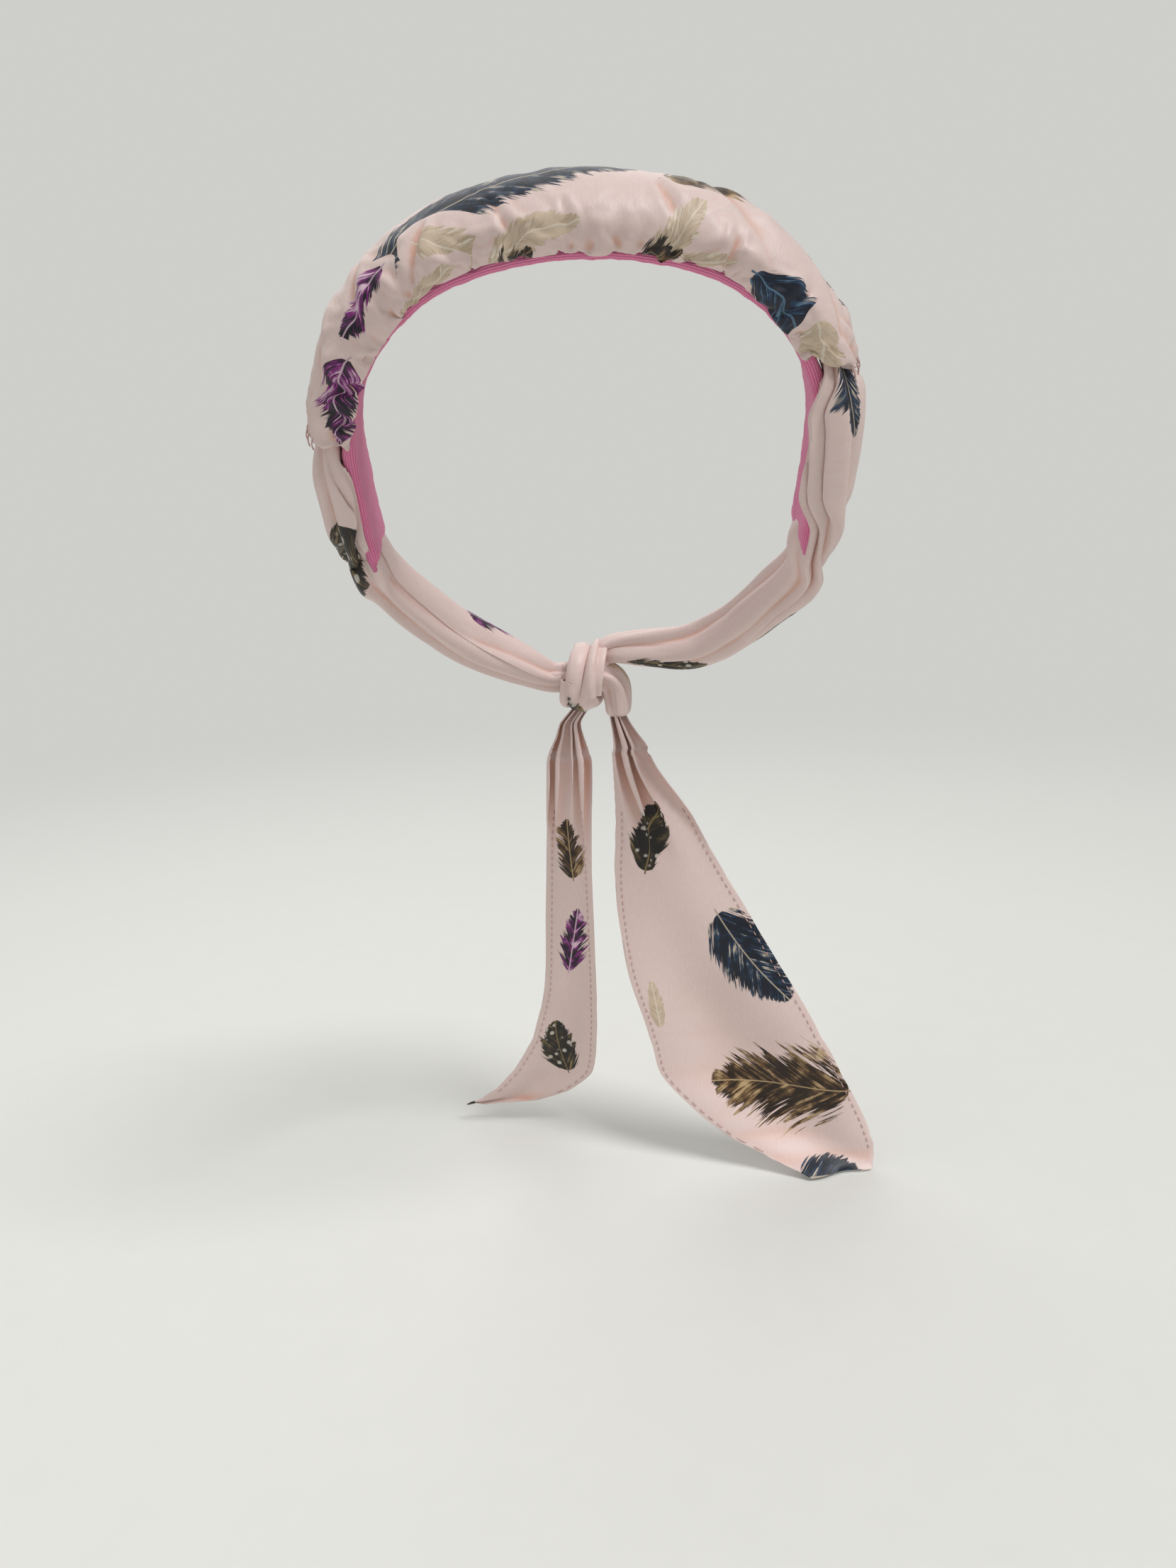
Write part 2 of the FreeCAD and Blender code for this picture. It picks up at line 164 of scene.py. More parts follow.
class HeadbandSizes(bpy.types.PropertyGroup):
    """Sizes of the cloth, in millimetres."""

    satin_thickness: bpy.props.FloatProperty(
        name="Satin thickness", description="Thickness of the satin", default=0.45, min=0.2, max=1.0)
    jersey_thickness: bpy.props.FloatProperty(
        name="Jersey thickness", description="Thickness of the knit round the elastic", default=0.6,
        min=0.3, max=1.5)
    crease_share: bpy.props.FloatProperty(
        name="Crease share", description="Creases pressed in again after settling", default=0.45)
    gather_least: bpy.props.FloatProperty(
        name="Tightest gather", description="Shortest gap between two gathers", default=6.0, min=3.0, max=10.0)
    gather_most: bpy.props.FloatProperty(
        name="Widest gather", description="Longest gap between two gathers", default=15.0, min=6.0, max=25.0)
    gather_fullness: bpy.props.FloatProperty(
        name="Fullness", description="Cloth length over band length in the gathers", default=1.5,
        min=1.0, max=2.5)
    cloth_step: bpy.props.FloatProperty(
        name="Cloth step", description="Grid step of the simulated crown cloth", default=2.0, min=1.5, max=4.0)
    crown_width: bpy.props.FloatProperty(
        name="Crown cut width", description="Cut width of the crown panel at its middle", default=66.0,
        min=50.0, max=120.0)
    thread_radius: bpy.props.FloatProperty(
        name="Thread radius", description="Radius of the sewing thread", default=0.28, min=0.1, max=0.6)
    hem_width: bpy.props.FloatProperty(
        name="Hem width", description="Width of the tails' folded hem", default=3.4, min=2.0, max=8.0)
    cloth_seed: bpy.props.IntProperty(
        name="Seed", description="Seed of the gathers and wrinkles", default=11, min=0, max=999)


def colour_setting(name, description, default):
    """A colour property for the panel."""
    return bpy.props.FloatVectorProperty(
        name=name, description=description, default=default, subtype="COLOR", size=3, min=0.0, max=1.0)


class HeadbandColours(bpy.types.PropertyGroup):
    """Linear colours of the materials."""

    blush: colour_setting("Blush", "Satin ground", (0.72, 0.562, 0.528))
    # Painted shade: a warm tint for the satin's deep folds, standing for light bounced and shaded between the
    # fold walls.
    painted_shade_tint: colour_setting("Peach", "Satin in its deep folds", (0.66, 0.35, 0.25))
    pink: colour_setting("Pink", "Jersey of the band", (0.76, 0.20, 0.37))
    elastic: colour_setting("Elastic", "Woven elastic", (0.72, 0.70, 0.66))
    wadding: colour_setting("Wadding", "Polyester filling", (0.82, 0.82, 0.80))
    thread: colour_setting("Thread", "Sewing thread", (0.78, 0.50, 0.47))
    floor: colour_setting("Floor", "Floor under the headband", (0.70, 0.70, 0.675))


class HeadbandStage(bpy.types.PropertyGroup):
    """Camera and light."""

    lens: bpy.props.FloatProperty(name="Lens", description="Focal length in millimetres", default=26.1)
    pitch: bpy.props.FloatProperty(
        name="Pitch", description="Downward angle of the camera", default=math.radians(12.5), subtype="ANGLE")
    roll: bpy.props.FloatProperty(
        name="Roll", description="Roll of the camera", default=math.radians(2.3), subtype="ANGLE")
    light: bpy.props.FloatProperty(name="Light", description="Strength of the main light", default=2.0)
    sky: bpy.props.FloatProperty(
        name="Sky", description="Share of the background that lights the cloth", default=0.60)


# ---------------------------------------------------------------- curves and band

def blend_between(a, b, share):
    """Plain interpolation."""
    return a + (b - a) * share


def smooth(low, high, value):
    """A smooth step from 0 at low to 1 at high."""
    share = min(max((value - low) / (high - low), 0.0), 1.0)
    return share * share * (3 - 2 * share)


def catmull(points, place):
    """A point on the smooth curve through points, each a tuple or a vector, with place from 0 to 1."""
    last = len(points) - 1
    at = min(max(place, 0.0), 0.999999) * last
    index = int(at)
    f = at - index
    four = [points[max(index - 1, 0)], points[index], points[index + 1], points[min(index + 2, last)]]
    return [0.5 * (2 * b + (c - a) * f + (2 * a - 5 * b + 4 * c - d) * f * f + (3 * b - a - 3 * c + d) * f ** 3)
            for a, b, c, d in zip(*four)]


def even_curve(points, count=200):
    """The curve's points at even spacing, and its length."""
    raw = [catmull(points, index / count) for index in range(count + 1)]
    runs = [0.0]
    for a, b in zip(raw, raw[1:]):
        runs.append(runs[-1] + math.dist(a[:3], b[:3]))
    even = []
    index = 0
    for step in range(count + 1):
        goal = runs[-1] * step / count
        while index < count - 1 and runs[index + 1] < goal:
            index += 1
        share = (goal - runs[index]) / max(runs[index + 1] - runs[index], 1e-9)
        even.append([blend_between(p, q, share) for p, q in zip(raw[index], raw[index + 1])])
    return even, runs[-1]


def pick(table, share):
    """A row of an evenly spaced table, interpolated."""
    at = min(max(share, 0.0), 1.0) * (len(table) - 1)
    index = min(int(at), len(table) - 2)
    return [blend_between(p, q, at - index) for p, q in zip(table[index], table[index + 1])]


def band_station(along):
    """Point on the band's inner line and the outward normal, untilted; 0 is the crown and plus is left."""
    side = 1.0 if along >= 0 else -1.0
    reach = abs(along)
    crown_centre = CROWN_RISE - CROWN_RADIUS
    shoulder_x = HALF_GIRTH - SHOULDER_RADIUS
    shoulder_z = crown_centre + shoulder_x / math.tan(CROWN_ANGLE)
    if reach <= CROWN_END:
        angle, x, z, radius = reach / CROWN_RADIUS, 0.0, crown_centre, CROWN_RADIUS
    elif reach <= SHOULDER_END:
        angle = CROWN_ANGLE + (reach - CROWN_END) / SHOULDER_RADIUS
        x, z, radius = shoulder_x, shoulder_z, SHOULDER_RADIUS
    else:
        angle = math.pi / 2 + (reach - SHOULDER_END) / LEG_RADIUS
        x, z, radius = HALF_GIRTH - LEG_RADIUS, shoulder_z, LEG_RADIUS
    normal = Vector((side * math.sin(angle), 0, math.cos(angle)))
    return Vector((side * x, 0, z)) + normal * radius, normal


TILT = Matrix.Rotation(math.radians(BAND_TILT), 3, "X")


def on_band(along, out, across=0.0):
    """A point in place on the worn band: along it, out from its inner line and across its width."""
    point, normal = band_station(along)
    return TILT @ (point + normal * out + Vector((0, across, 0)))


def crown_scale(along):
    """The crown's width and height scales at a distance along the band."""
    reach = abs(along)
    for (near, low_w, low_h), (far, high_w, high_h) in zip(CROWN_TAPER, CROWN_TAPER[1:]):
        if reach <= far:
            share = (reach - near) / (far - near)
            return blend_between(low_w, high_w, share), blend_between(low_h, high_h, share)
    return CROWN_TAPER[-1][1:]


PROFILE_TABLE, PROFILE_LENGTH = even_curve(CROWN_PROFILE)


# ---------------------------------------------------------------- mesh tools

def settings():
    """The headband's settings on the scene."""
    return bpy.context.scene.headband_sizes, bpy.context.scene.headband_colours


def new_piece(name, bm, smooth_faces=True):
    """Turns a bmesh in metres into an object in the scene."""
    bmesh.ops.recalc_face_normals(bm, faces=bm.faces)
    mesh = bpy.data.meshes.new(name)
    bm.to_mesh(mesh)
    bm.free()
    mesh.polygons.foreach_set("use_smooth", [smooth_faces] * len(mesh.polygons))
    piece = bpy.data.objects.new(name, mesh)
    bpy.context.scene.collection.objects.link(piece)
    return piece


def lay_grid(bm, columns, rows, place, flat=None):
    """Adds a grid; place(u, v) gives each point in millimetres and flat(u, v) its spot on the cut cloth."""
    made = bmesh.ops.create_grid(bm, x_segments=columns, y_segments=rows, size=0.5)["verts"]
    shares = {vert: (vert.co.x + 0.5, vert.co.y + 0.5) for vert in made}
    if flat:
        layer = bm.loops.layers.uv.get("cloth") or bm.loops.layers.uv.new("cloth")
        for face in {face for vert in made for face in vert.link_faces}:
            for loop in face.loops:
                loop[layer].uv = [value * MM for value in flat(*shares[loop.vert])]
    for vert, (u, v) in shares.items():
        vert.co = Vector(place(u, v)) * MM
    return made


def cloth(name, columns, rows, place, flat, joined=False):
    """One grid of cloth as a piece; joined merges edges that meet."""
    bm = bmesh.new()
    lay_grid(bm, columns, rows, place, flat)
    if joined:
        bmesh.ops.remove_doubles(bm, verts=bm.verts, dist=2e-5)
    return new_piece(name, bm)


def add_tube(bm, points, radius, around=6, taper=True):
    """Adds a closed tube along a few points in millimetres, such as one stitch."""
    count = len(points) - 1
    frames = []
    for index, point in enumerate(points):
        ahead = (points[min(index + 1, count)] - points[max(index - 1, 0)]).normalized()
        side = ahead.cross(Vector((0.31, 0.82, 0.47))).normalized()
        frames.append((point, side, ahead.cross(side)))

    def place(u, v):
        index = round(u * count)
        point, side, up = frames[index]
        size = 0.0 if taper and index in (0, count) else radius
        angle = 2 * math.pi * v
        return point + side * (size * math.cos(angle)) + up * (size * math.sin(angle))

    made = lay_grid(bm, count, around, place)
    bmesh.ops.remove_doubles(bm, verts=made, dist=1e-6)


def applied(piece):
    """Applies the piece's modifiers, so that the mesh is final."""
    graph = bpy.context.evaluated_depsgraph_get()
    graph.update()
    mesh = bpy.data.meshes.new_from_object(piece.evaluated_get(graph))
    mesh.name = piece.name
    piece.shape_key_clear()
    piece.modifiers.clear()
    piece.data = mesh
    return piece


def thicken(piece, thickness, offset=-1.0, levels=0):
    """Subdivides and gives the cloth its thickness."""
    if levels:
        sub = piece.modifiers.new("Subdivision", "SUBSURF")
        sub.levels = sub.render_levels = levels
    solid = piece.modifiers.new("Thickness", "SOLIDIFY")
    solid.thickness = thickness * MM
    solid.offset = offset
    solid.use_even_offset = False
    applied(piece)
    piece.data.set_sharp_from_angle(angle=RIM_ANGLE)
    return piece


def mark_painted_fold_shade(piece, passes=4, gain=1.0):
    """Stores how deep each point lies in a fold, from 0 to 1, for the satin's painted shade in its folds."""
    mesh = piece.data
    count = len(mesh.vertices)
    near = [[] for _ in range(count)]
    for edge in mesh.edges:
        a, b = edge.vertices
        near[a].append(b)
        near[b].append(a)
    depth = []
    for index, vertex in enumerate(mesh.vertices):
        middle = Vector()
        for other in near[index]:
            middle += mesh.vertices[other].co
        middle /= max(len(near[index]), 1)
        depth.append((middle - vertex.co).dot(vertex.normal) / (0.08 * MM))
    for _ in range(passes):
        depth = [(value + sum(depth[o] for o in near[index])) / (1 + len(near[index]))
                 for index, value in enumerate(depth)]
    # Painted shade: the depth is kept for darkening and warming the satin in its folds.
    layer = mesh.attributes.new("fold_shade_depth", "FLOAT", "POINT")
    layer.data.foreach_set("value", [min(max(value * gain, 0.0), 1.0) for value in depth])


def finish(piece, material, slot, *nodes, body="headband", blend=None):
    """Gives a piece its material and body, or with blend bakes its transform; hides the parts it stands for. slot
    is not used.
    """
    piece.data.materials.clear()
    piece.data.materials.append(material)
    if blend:
        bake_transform(piece)
    else:
        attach(piece, body)
    if nodes:
        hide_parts(*nodes)
    return piece


# ---------------------------------------------------------------- material tools

class Nodes:
    """Short calls that add nodes to one tree."""

    def __init__(self, tree):
        self.tree = tree

    def add(self, kind, **values):
        node = self.tree.nodes.new(kind)
        for key, value in values.items():
            setattr(node, key, value)
        return node

    def feed(self, socket, value):
        if isinstance(value, bpy.types.NodeSocket):
            self.tree.links.new(value, socket)
        elif value is not None:
            socket.default_value = value

    def maths(self, operation, a, b=None, c=None, clamp=False):
        node = self.add("ShaderNodeMath", operation=operation, use_clamp=clamp)
        for socket, value in zip(node.inputs, (a, b, c)):
            self.feed(socket, value)
        return node.outputs[0]

    def vector(self, x, y, z=0.0):
        node = self.add("ShaderNodeCombineXYZ")
        for socket, value in zip(node.inputs, (x, y, z)):
            self.feed(socket, value)
        return node.outputs[0]

    def split(self, value):
        node = self.add("ShaderNodeSeparateXYZ")
        self.feed(node.inputs[0], value)
        return node.outputs

    def stretch(self, vector, scale):
        node = self.add("ShaderNodeVectorMath", operation="MULTIPLY")
        self.feed(node.inputs[0], vector)
        self.feed(node.inputs[1], scale)
        return node.outputs[0]

    def step(self, value, low, high):
        node = self.add("ShaderNodeMapRange", interpolation_type="SMOOTHSTEP", clamp=True)
        self.feed(node.inputs[0], value)
        self.feed(node.inputs[1], low)
        self.feed(node.inputs[2], high)
        return node.outputs[0]

    def mix(self, share, a, b, blend_type="MIX"):
        node = self.add("ShaderNodeMix", data_type="RGBA", blend_type=blend_type)
        self.feed(node.inputs[0], share)
        self.feed(node.inputs[6], a)
        self.feed(node.inputs[7], b)
        return node.outputs[2]

    def choose(self, share, a, b):
        node = self.add("ShaderNodeMix", data_type="VECTOR")
        for socket, value in zip((node.inputs[0], node.inputs[4], node.inputs[5]), (share, a, b)):
            self.feed(socket, value)
        return node.outputs[1]

    def noise(self, vector, scale, detail=2.0, roughness=0.5):
        node = self.add("ShaderNodeTexNoise")
        self.feed(node.inputs["Vector"], vector)
        node.inputs["Scale"].default_value = scale
        node.inputs["Detail"].default_value = detail
        node.inputs["Roughness"].default_value = roughness
        return node.outputs["Fac"]

    def bump(self, height, distance, strength=1.0, normal=None):
        node = self.add("ShaderNodeBump")
        node.inputs["Strength"].default_value = strength
        node.inputs["Distance"].default_value = distance
        self.feed(node.inputs["Height"], height)
        self.feed(node.inputs["Normal"], normal)
        return node.outputs[0]


def new_material(name, colour, roughness, sheen=0.0, specular=0.5):
    """A material with its shader's plain values set, and its node helper."""
    material = bpy.data.materials.new(name)
    material.use_nodes = True
    material.diffuse_color = (*colour, 1)
    shader = material.node_tree.nodes["Principled BSDF"]
    shader.inputs["Roughness"].default_value = roughness
    shader.inputs["Specular IOR Level"].default_value = specular
    shader.inputs["Sheen Weight"].default_value = sheen
    shader.inputs["Sheen Roughness"].default_value = 0.4
    return material, shader, Nodes(material.node_tree)


def draw_feather(n, local, shape, kind, dark, middle, light):
    """Mask and colour of one printed feather.

    local is the place along and aside of its middle, shape its length, width and curve, and kind its seed,
    spots and fuzz.
    """
    along, aside, _ = n.split(local)
    length, width, curve = n.split(shape)
    seed, spots, fuzz = n.split(kind)
    share = n.maths("ADD", n.maths("DIVIDE", along, length), 0.5)
    from_middle = n.maths("SUBTRACT", share, 0.5)
    aside = n.maths("MULTIPLY_ADD", n.maths("MULTIPLY", from_middle, from_middle), curve, aside)
    reach = n.maths("ABSOLUTE", aside)
    deep = n.maths("MULTIPLY_ADD", n.maths("SIGN", aside), 5.0, seed)
    barb = n.maths("MULTIPLY_ADD", reach, -1.5, along)
    broad = n.noise(
        n.vector(n.maths("MULTIPLY", barb, 0.34), n.maths("MULTIPLY", reach, 0.08), deep), 1.0, 3.0)
    fine = n.noise(
        n.vector(n.maths("MULTIPLY", barb, 1.7), n.maths("MULTIPLY", reach, 0.12), deep), 1.0, 2.0, 0.6)
    patch = n.noise(n.vector(n.maths("MULTIPLY", along, 0.16), n.maths("MULTIPLY", aside, 0.16), seed), 1.0)
    inside = n.maths(
        "SINE", n.maths("MULTIPLY", n.maths("POWER", n.maths("MAXIMUM", share, 0.0), 0.8), math.pi))
    inside = n.maths("POWER", n.maths("MAXIMUM", inside, 0.0), 0.55)
    tattered = n.maths("MULTIPLY_ADD", broad, 2.4, n.maths("MULTIPLY_ADD", fine, 1.2, -1.8))
    outline = n.maths("MULTIPLY", inside, n.maths("MULTIPLY_ADD", tattered, fuzz, 0.9))
    edge = n.maths("SUBTRACT", outline, n.maths("DIVIDE", reach, n.maths("MULTIPLY", width, 0.5)))
    vane = n.maths("MULTIPLY", n.step(edge, 0.0, 0.07), n.step(share, 1.0, 0.98))
    quill = n.maths("MULTIPLY", n.step(reach, 0.42, 0.25), n.step(share, -0.06, -0.04))
    quill = n.maths("MULTIPLY", quill, n.step(share, 0.98, 0.9))
    tone = n.maths("MULTIPLY_ADD", fine, 0.35, n.maths("MULTIPLY", broad, 0.45))
    tone = n.maths("MULTIPLY_ADD", patch, 0.35, tone)
    colour = n.mix(n.step(tone, 0.56, 0.63), dark, middle)
    colour = n.mix(n.step(tone, 0.635, 0.69), colour, light)
    cells = n.add("ShaderNodeTexVoronoi")
    n.feed(cells.inputs["Vector"], n.vector(along, aside, seed))
    cells.inputs["Scale"].default_value = 0.25
    cells.inputs["Randomness"].default_value = 0.8
    spot = n.maths("MULTIPLY", n.step(cells.outputs["Distance"], 0.36, 0.22), spots)
    colour = n.mix(spot, colour, (0.50, 0.46, 0.40, 1.0))
    colour = n.mix(n.maths("MULTIPLY", n.step(reach, 0.4, 0.2), 0.75), colour, light)
    return n.maths("MAXIMUM", vane, quill), colour


def feather_print(n, place, feathers, seed, ground):
    """Prints feathers that don't overlap: each spot takes the settings of the feather round it."""
    local, shape, kind = (900.0, 900.0, 0.0), (10.0, 10.0, 0.0), (0.0, 0.0, 0.0)
    dark = middle = light = (0.0, 0.0, 0.0, 1.0)
    for index, (name, x, y, angle, length, width, curve) in enumerate(feathers):
        tints, (spots, fuzz) = FEATHERS[name][:3], FEATHERS[name][3:]
        turn = n.add("ShaderNodeMapping", vector_type="TEXTURE")
        n.feed(turn.inputs["Vector"], place)
        turn.inputs["Location"].default_value = (x, y, 0.0)
        turn.inputs["Rotation"].default_value = (0.0, 0.0, math.radians(angle))
        away = n.add("ShaderNodeVectorMath", operation="LENGTH")
        n.feed(away.inputs[0], n.stretch(turn.outputs[0], (1 / (0.68 * length), 1 / (0.85 * width), 0.0)))
        near = n.maths("LESS_THAN", away.outputs["Value"], 1.0)
        local = n.choose(near, local, turn.outputs[0])
        shape = n.choose(near, shape, (length, width, curve))
        kind = n.choose(near, kind, (seed + 3.7 * index, spots, fuzz))
        dark, middle, light = (n.mix(near, old, (*tint, 1))
                               for old, tint in zip((dark, middle, light), tints))
    mask, colour = draw_feather(n, local, shape, kind, dark, middle, light)
    return n.mix(mask, ground, colour)


# Feather colourings: dark, middle and light, then how spotted and how fuzzy.
FEATHERS = {
    "navy": ((0.004, 0.007, 0.016), (0.012, 0.038, 0.085), (0.52, 0.44, 0.34), 0.0, 0.55),
    "blue": ((0.004, 0.008, 0.020), (0.011, 0.036, 0.085), (0.10, 0.19, 0.28), 0.0, 0.45),
    "tan": ((0.60, 0.485, 0.365), (0.47, 0.36, 0.25), (0.74, 0.65, 0.54), 0.0, 0.40),
    "brown": ((0.018, 0.009, 0.004), (0.13, 0.070, 0.028), (0.48, 0.34, 0.18), 0.0, 1.0),
    "speck": ((0.010, 0.006, 0.004), (0.030, 0.017, 0.009), (0.22, 0.14, 0.07), 0.0, 1.0),
    "guinea": ((0.010, 0.008, 0.006), (0.045, 0.032, 0.014), (0.24, 0.17, 0.07), 1.0, 0.45),
    "purple": ((0.008, 0.004, 0.014), (0.24, 0.012, 0.20), (0.72, 0.52, 0.62), 0.0, 0.9),
}


def satin(name, feathers, seed=0.0):
    """Printed satin: soft sheen, fine weave, painted shade of a warm tint in the folds, and the feathers of this
    piece.

    feathers is a list of layers. Each feather is a colouring, then centre x and y, angle in degrees, length,
    width and curve.
    """
    _, colours = settings()
    material, shader, n = new_material(name, colours.blush, 0.46, sheen=0.12, specular=0.42)
    shader.inputs["Sheen Tint"].default_value = (1.0, 0.90, 0.87, 1.0)
    shader.inputs["Anisotropic"].default_value = 0.25
    uv = n.add("ShaderNodeUVMap", uv_map="cloth").outputs[0]
    place = n.stretch(uv, (1000.0, 1000.0, 1000.0))
    cloudy = n.noise(n.stretch(place, (0.03, 0.03, 0.03)), 1.0, 3.0)
    ground = n.mix(n.maths("MULTIPLY", cloudy, 0.35), (*colours.blush, 1), (0.76, 0.615, 0.580, 1))
    brushed = n.noise(n.stretch(place, (0.9, 0.22, 1.0)), 1.0, 3.0, 0.6)
    ground = n.mix(n.maths("MULTIPLY", n.step(brushed, 0.45, 0.75), 0.22), ground, (0.82, 0.70, 0.67, 1))
    # Painted shade: the ground turns to the warm shade tint as deep as each point lies in a fold.
    fold_shade_depth = n.add("ShaderNodeAttribute", attribute_name="fold_shade_depth").outputs["Fac"]
    ground = n.mix(n.maths("MULTIPLY", fold_shade_depth, 0.75), ground, (*colours.painted_shade_tint, 1))
    for layer, printed in enumerate(feathers):
        ground = feather_print(n, place, printed, seed + 50 * layer, ground)
    n.feed(shader.inputs["Base Color"], ground)
    rough = n.maths("ADD", n.maths("MULTIPLY", brushed, 0.14), 0.38)
    n.feed(shader.inputs["Roughness"], rough)
    x, y, _ = n.split(place)
    weft = n.maths("SINE", n.maths("MULTIPLY", x, 14.0))
    warp = n.maths("SINE", n.maths("MULTIPLY", y, 14.0))
    weave = n.bump(n.maths("MULTIPLY", weft, warp), 0.00003, 0.25)
    crepe = n.bump(n.noise(n.stretch(place, (0.7, 0.35, 1.0)), 1.0, 4.0, 0.6), 0.0004, 0.35, weave)
    n.feed(shader.inputs["Normal"], crepe)
    return material


def jersey():
    """Fine rib knit: ribs along the band, with rows of stitches across them, and painted shade and highlight on
    them.
    """
    _, colours = settings()
    material, shader, n = new_material("pink jersey", colours.pink, 0.8, sheen=0.5, specular=0.3)
    shader.inputs["Sheen Tint"].default_value = (1.0, 0.75, 0.85, 1.0)
    uv = n.add("ShaderNodeUVMap", uv_map="cloth").outputs[0]
    along, around, _ = n.split(n.stretch(uv, (1000.0, 1000.0, 1000.0)))
    rib = n.maths("SINE", n.maths("MULTIPLY", around, 2 * math.pi / 0.95))
    slant = n.maths("MULTIPLY", n.maths("ABSOLUTE", rib), 0.25)
    loop = n.maths("SINE", n.maths("MULTIPLY", n.maths("ADD", along, slant), 2 * math.pi / 0.7))
    knit = n.maths("ADD", n.maths("MULTIPLY", rib, 0.7), n.maths("MULTIPLY", loop, 0.3))
    # Painted highlight and shade: the knit is lighter on its crests and darker in its grooves, by the height of
    # its bump.
    light = tuple(min(value * 1.35 + 0.02, 1.0) for value in colours.pink)
    dark = tuple(value * 0.72 for value in colours.pink)
    colour = n.mix(n.step(knit, -0.9, 0.8), (*dark, 1), (*light, 1))
    soft = n.noise(n.vector(n.maths("MULTIPLY", along, 0.07), n.maths("MULTIPLY", around, 0.1)), 1.0, 3.0)
    colour = n.mix(n.maths("MULTIPLY", soft, 0.4), colour, (*colours.pink, 1))
    n.feed(shader.inputs["Base Color"], colour)
    n.feed(shader.inputs["Normal"], n.bump(knit, 0.00018, 0.8))
    return material


def woven_elastic():
    """Woven elastic: pale cords along it and a fine zigzag of threads."""
    _, colours = settings()
    material, shader, n = new_material("woven elastic", colours.elastic, 0.75, sheen=0.1)
    uv = n.add("ShaderNodeUVMap", uv_map="cloth").outputs[0]
    along, around, _ = n.split(n.stretch(uv, (1000.0, 1000.0, 1000.0)))
    cord = n.maths("SINE", n.maths("MULTIPLY", around, 2 * math.pi / 1.6))
    zigzag = n.maths("SINE", n.maths("MULTIPLY", n.maths("ADD", along, cord), 2 * math.pi / 0.9))
    both = n.maths("MULTIPLY_ADD", zigzag, 0.4, cord)
    shade = tuple(value * 0.7 for value in colours.elastic)
    n.feed(shader.inputs["Base Color"], n.mix(n.step(both, -1.2, 0.9), (*shade, 1), (*colours.elastic, 1)))
    n.feed(shader.inputs["Normal"], n.bump(both, 0.0002, 0.7))
    return material


def fibre_wadding():
    """Polyester filling: pale, matt and fibrous."""
    _, colours = settings()
    material, shader, n = new_material("fibre wadding", colours.wadding, 0.95, sheen=0.6, specular=0.2)
    place = n.add("ShaderNodeTexCoord").outputs["Object"]
    fluff = n.noise(place, 900.0, 6.0, 0.7)
    strands = n.noise(n.stretch(place, (300.0, 2200.0, 1500.0)), 1.0, 4.0, 0.6)
    colour = n.mix(strands, tuple(value * 0.82 for value in colours.wadding) + (1,), (*colours.wadding, 1))
    n.feed(shader.inputs["Base Color"], colour)
    n.feed(shader.inputs["Normal"], n.bump(n.maths("ADD", fluff, strands), 0.0008, 0.6))
    return material


def sewing_thread():
    """Twisted sewing thread."""
    _, colours = settings()
    material, shader, n = new_material("sewing thread", colours.thread, 0.55, sheen=0.2)
    place = n.add("ShaderNodeTexCoord").outputs["Object"]
    x, y, z = n.split(n.stretch(place, (1000.0, 1000.0, 1000.0)))
    ply = n.maths("SINE", n.maths("MULTIPLY", n.maths("ADD", n.maths("ADD", x, z), y), 9.0))
    shade = tuple(value * 0.6 for value in colours.thread)
    n.feed(shader.inputs["Base Color"], n.mix(n.step(ply, -1.0, 0.6), (*shade, 1), (*colours.thread, 1)))
    n.feed(shader.inputs["Normal"], n.bump(ply, 0.00008, 0.7))
    return material


# ---------------------------------------------------------------- crown

def gather_points(seed, fullness):
    """Where the cloth is caught down along one edge, as (band place, cloth place), and the cloth's length."""
    sizes, _ = settings()
    pick_gap = random.Random(seed)
    along = -RIGHT_REACH
    used = 0.0
    points = [(along, used)]
    while along < LEFT_REACH - sizes.gather_least:
        gap = blend_between(sizes.gather_least, sizes.gather_most, pick_gap.random() ** 1.4)
        gap = min(gap, LEFT_REACH - along)
        along += gap
        used += gap * fullness * pick_gap.uniform(0.82, 1.18)
        points.append((along, used))
    points[-1] = (LEFT_REACH, used)
    return points, used


def gather_at(points, used):
    """At a place on the cloth: the band place, the share between two gathers, their gap and their number."""
    for index, ((from_s, from_u), (to_s, to_u)) in enumerate(zip(points, points[1:])):
        if used <= to_u + 1e-9:
            share = (used - from_u) / (to_u - from_u)
            return blend_between(from_s, to_s, share), share, to_u - from_u, index
    return points[-1][0], 1.0, 1.0, len(points) - 2


def crease_at(creases, u, v):
    """How far the crown is drawn in at a spot, both in cloth millimetres, by a list of creases."""
    drawn = 0.0
    for from_u, from_v, run_u, run_v, length, depth, width in creases:
        du, dv = u - from_u, v - from_v
        t = (du * run_u + dv * run_v) / length
        if -0.15 < t < 1.05:
            x = du * -run_v + dv * run_u
            spread = width * (0.7 + 0.9 * max(t, 0.0))
            fade = (1.0 - smooth(0.35, 1.05, t)) * smooth(-0.15, 0.02, t)
            lean = x / spread if x > 0 else x / (spread * 0.55)
            drawn += depth * fade * (math.exp(-lean * lean) - 0.38 * math.exp(-((x / spread - 1.7) ** 2)))
    return drawn


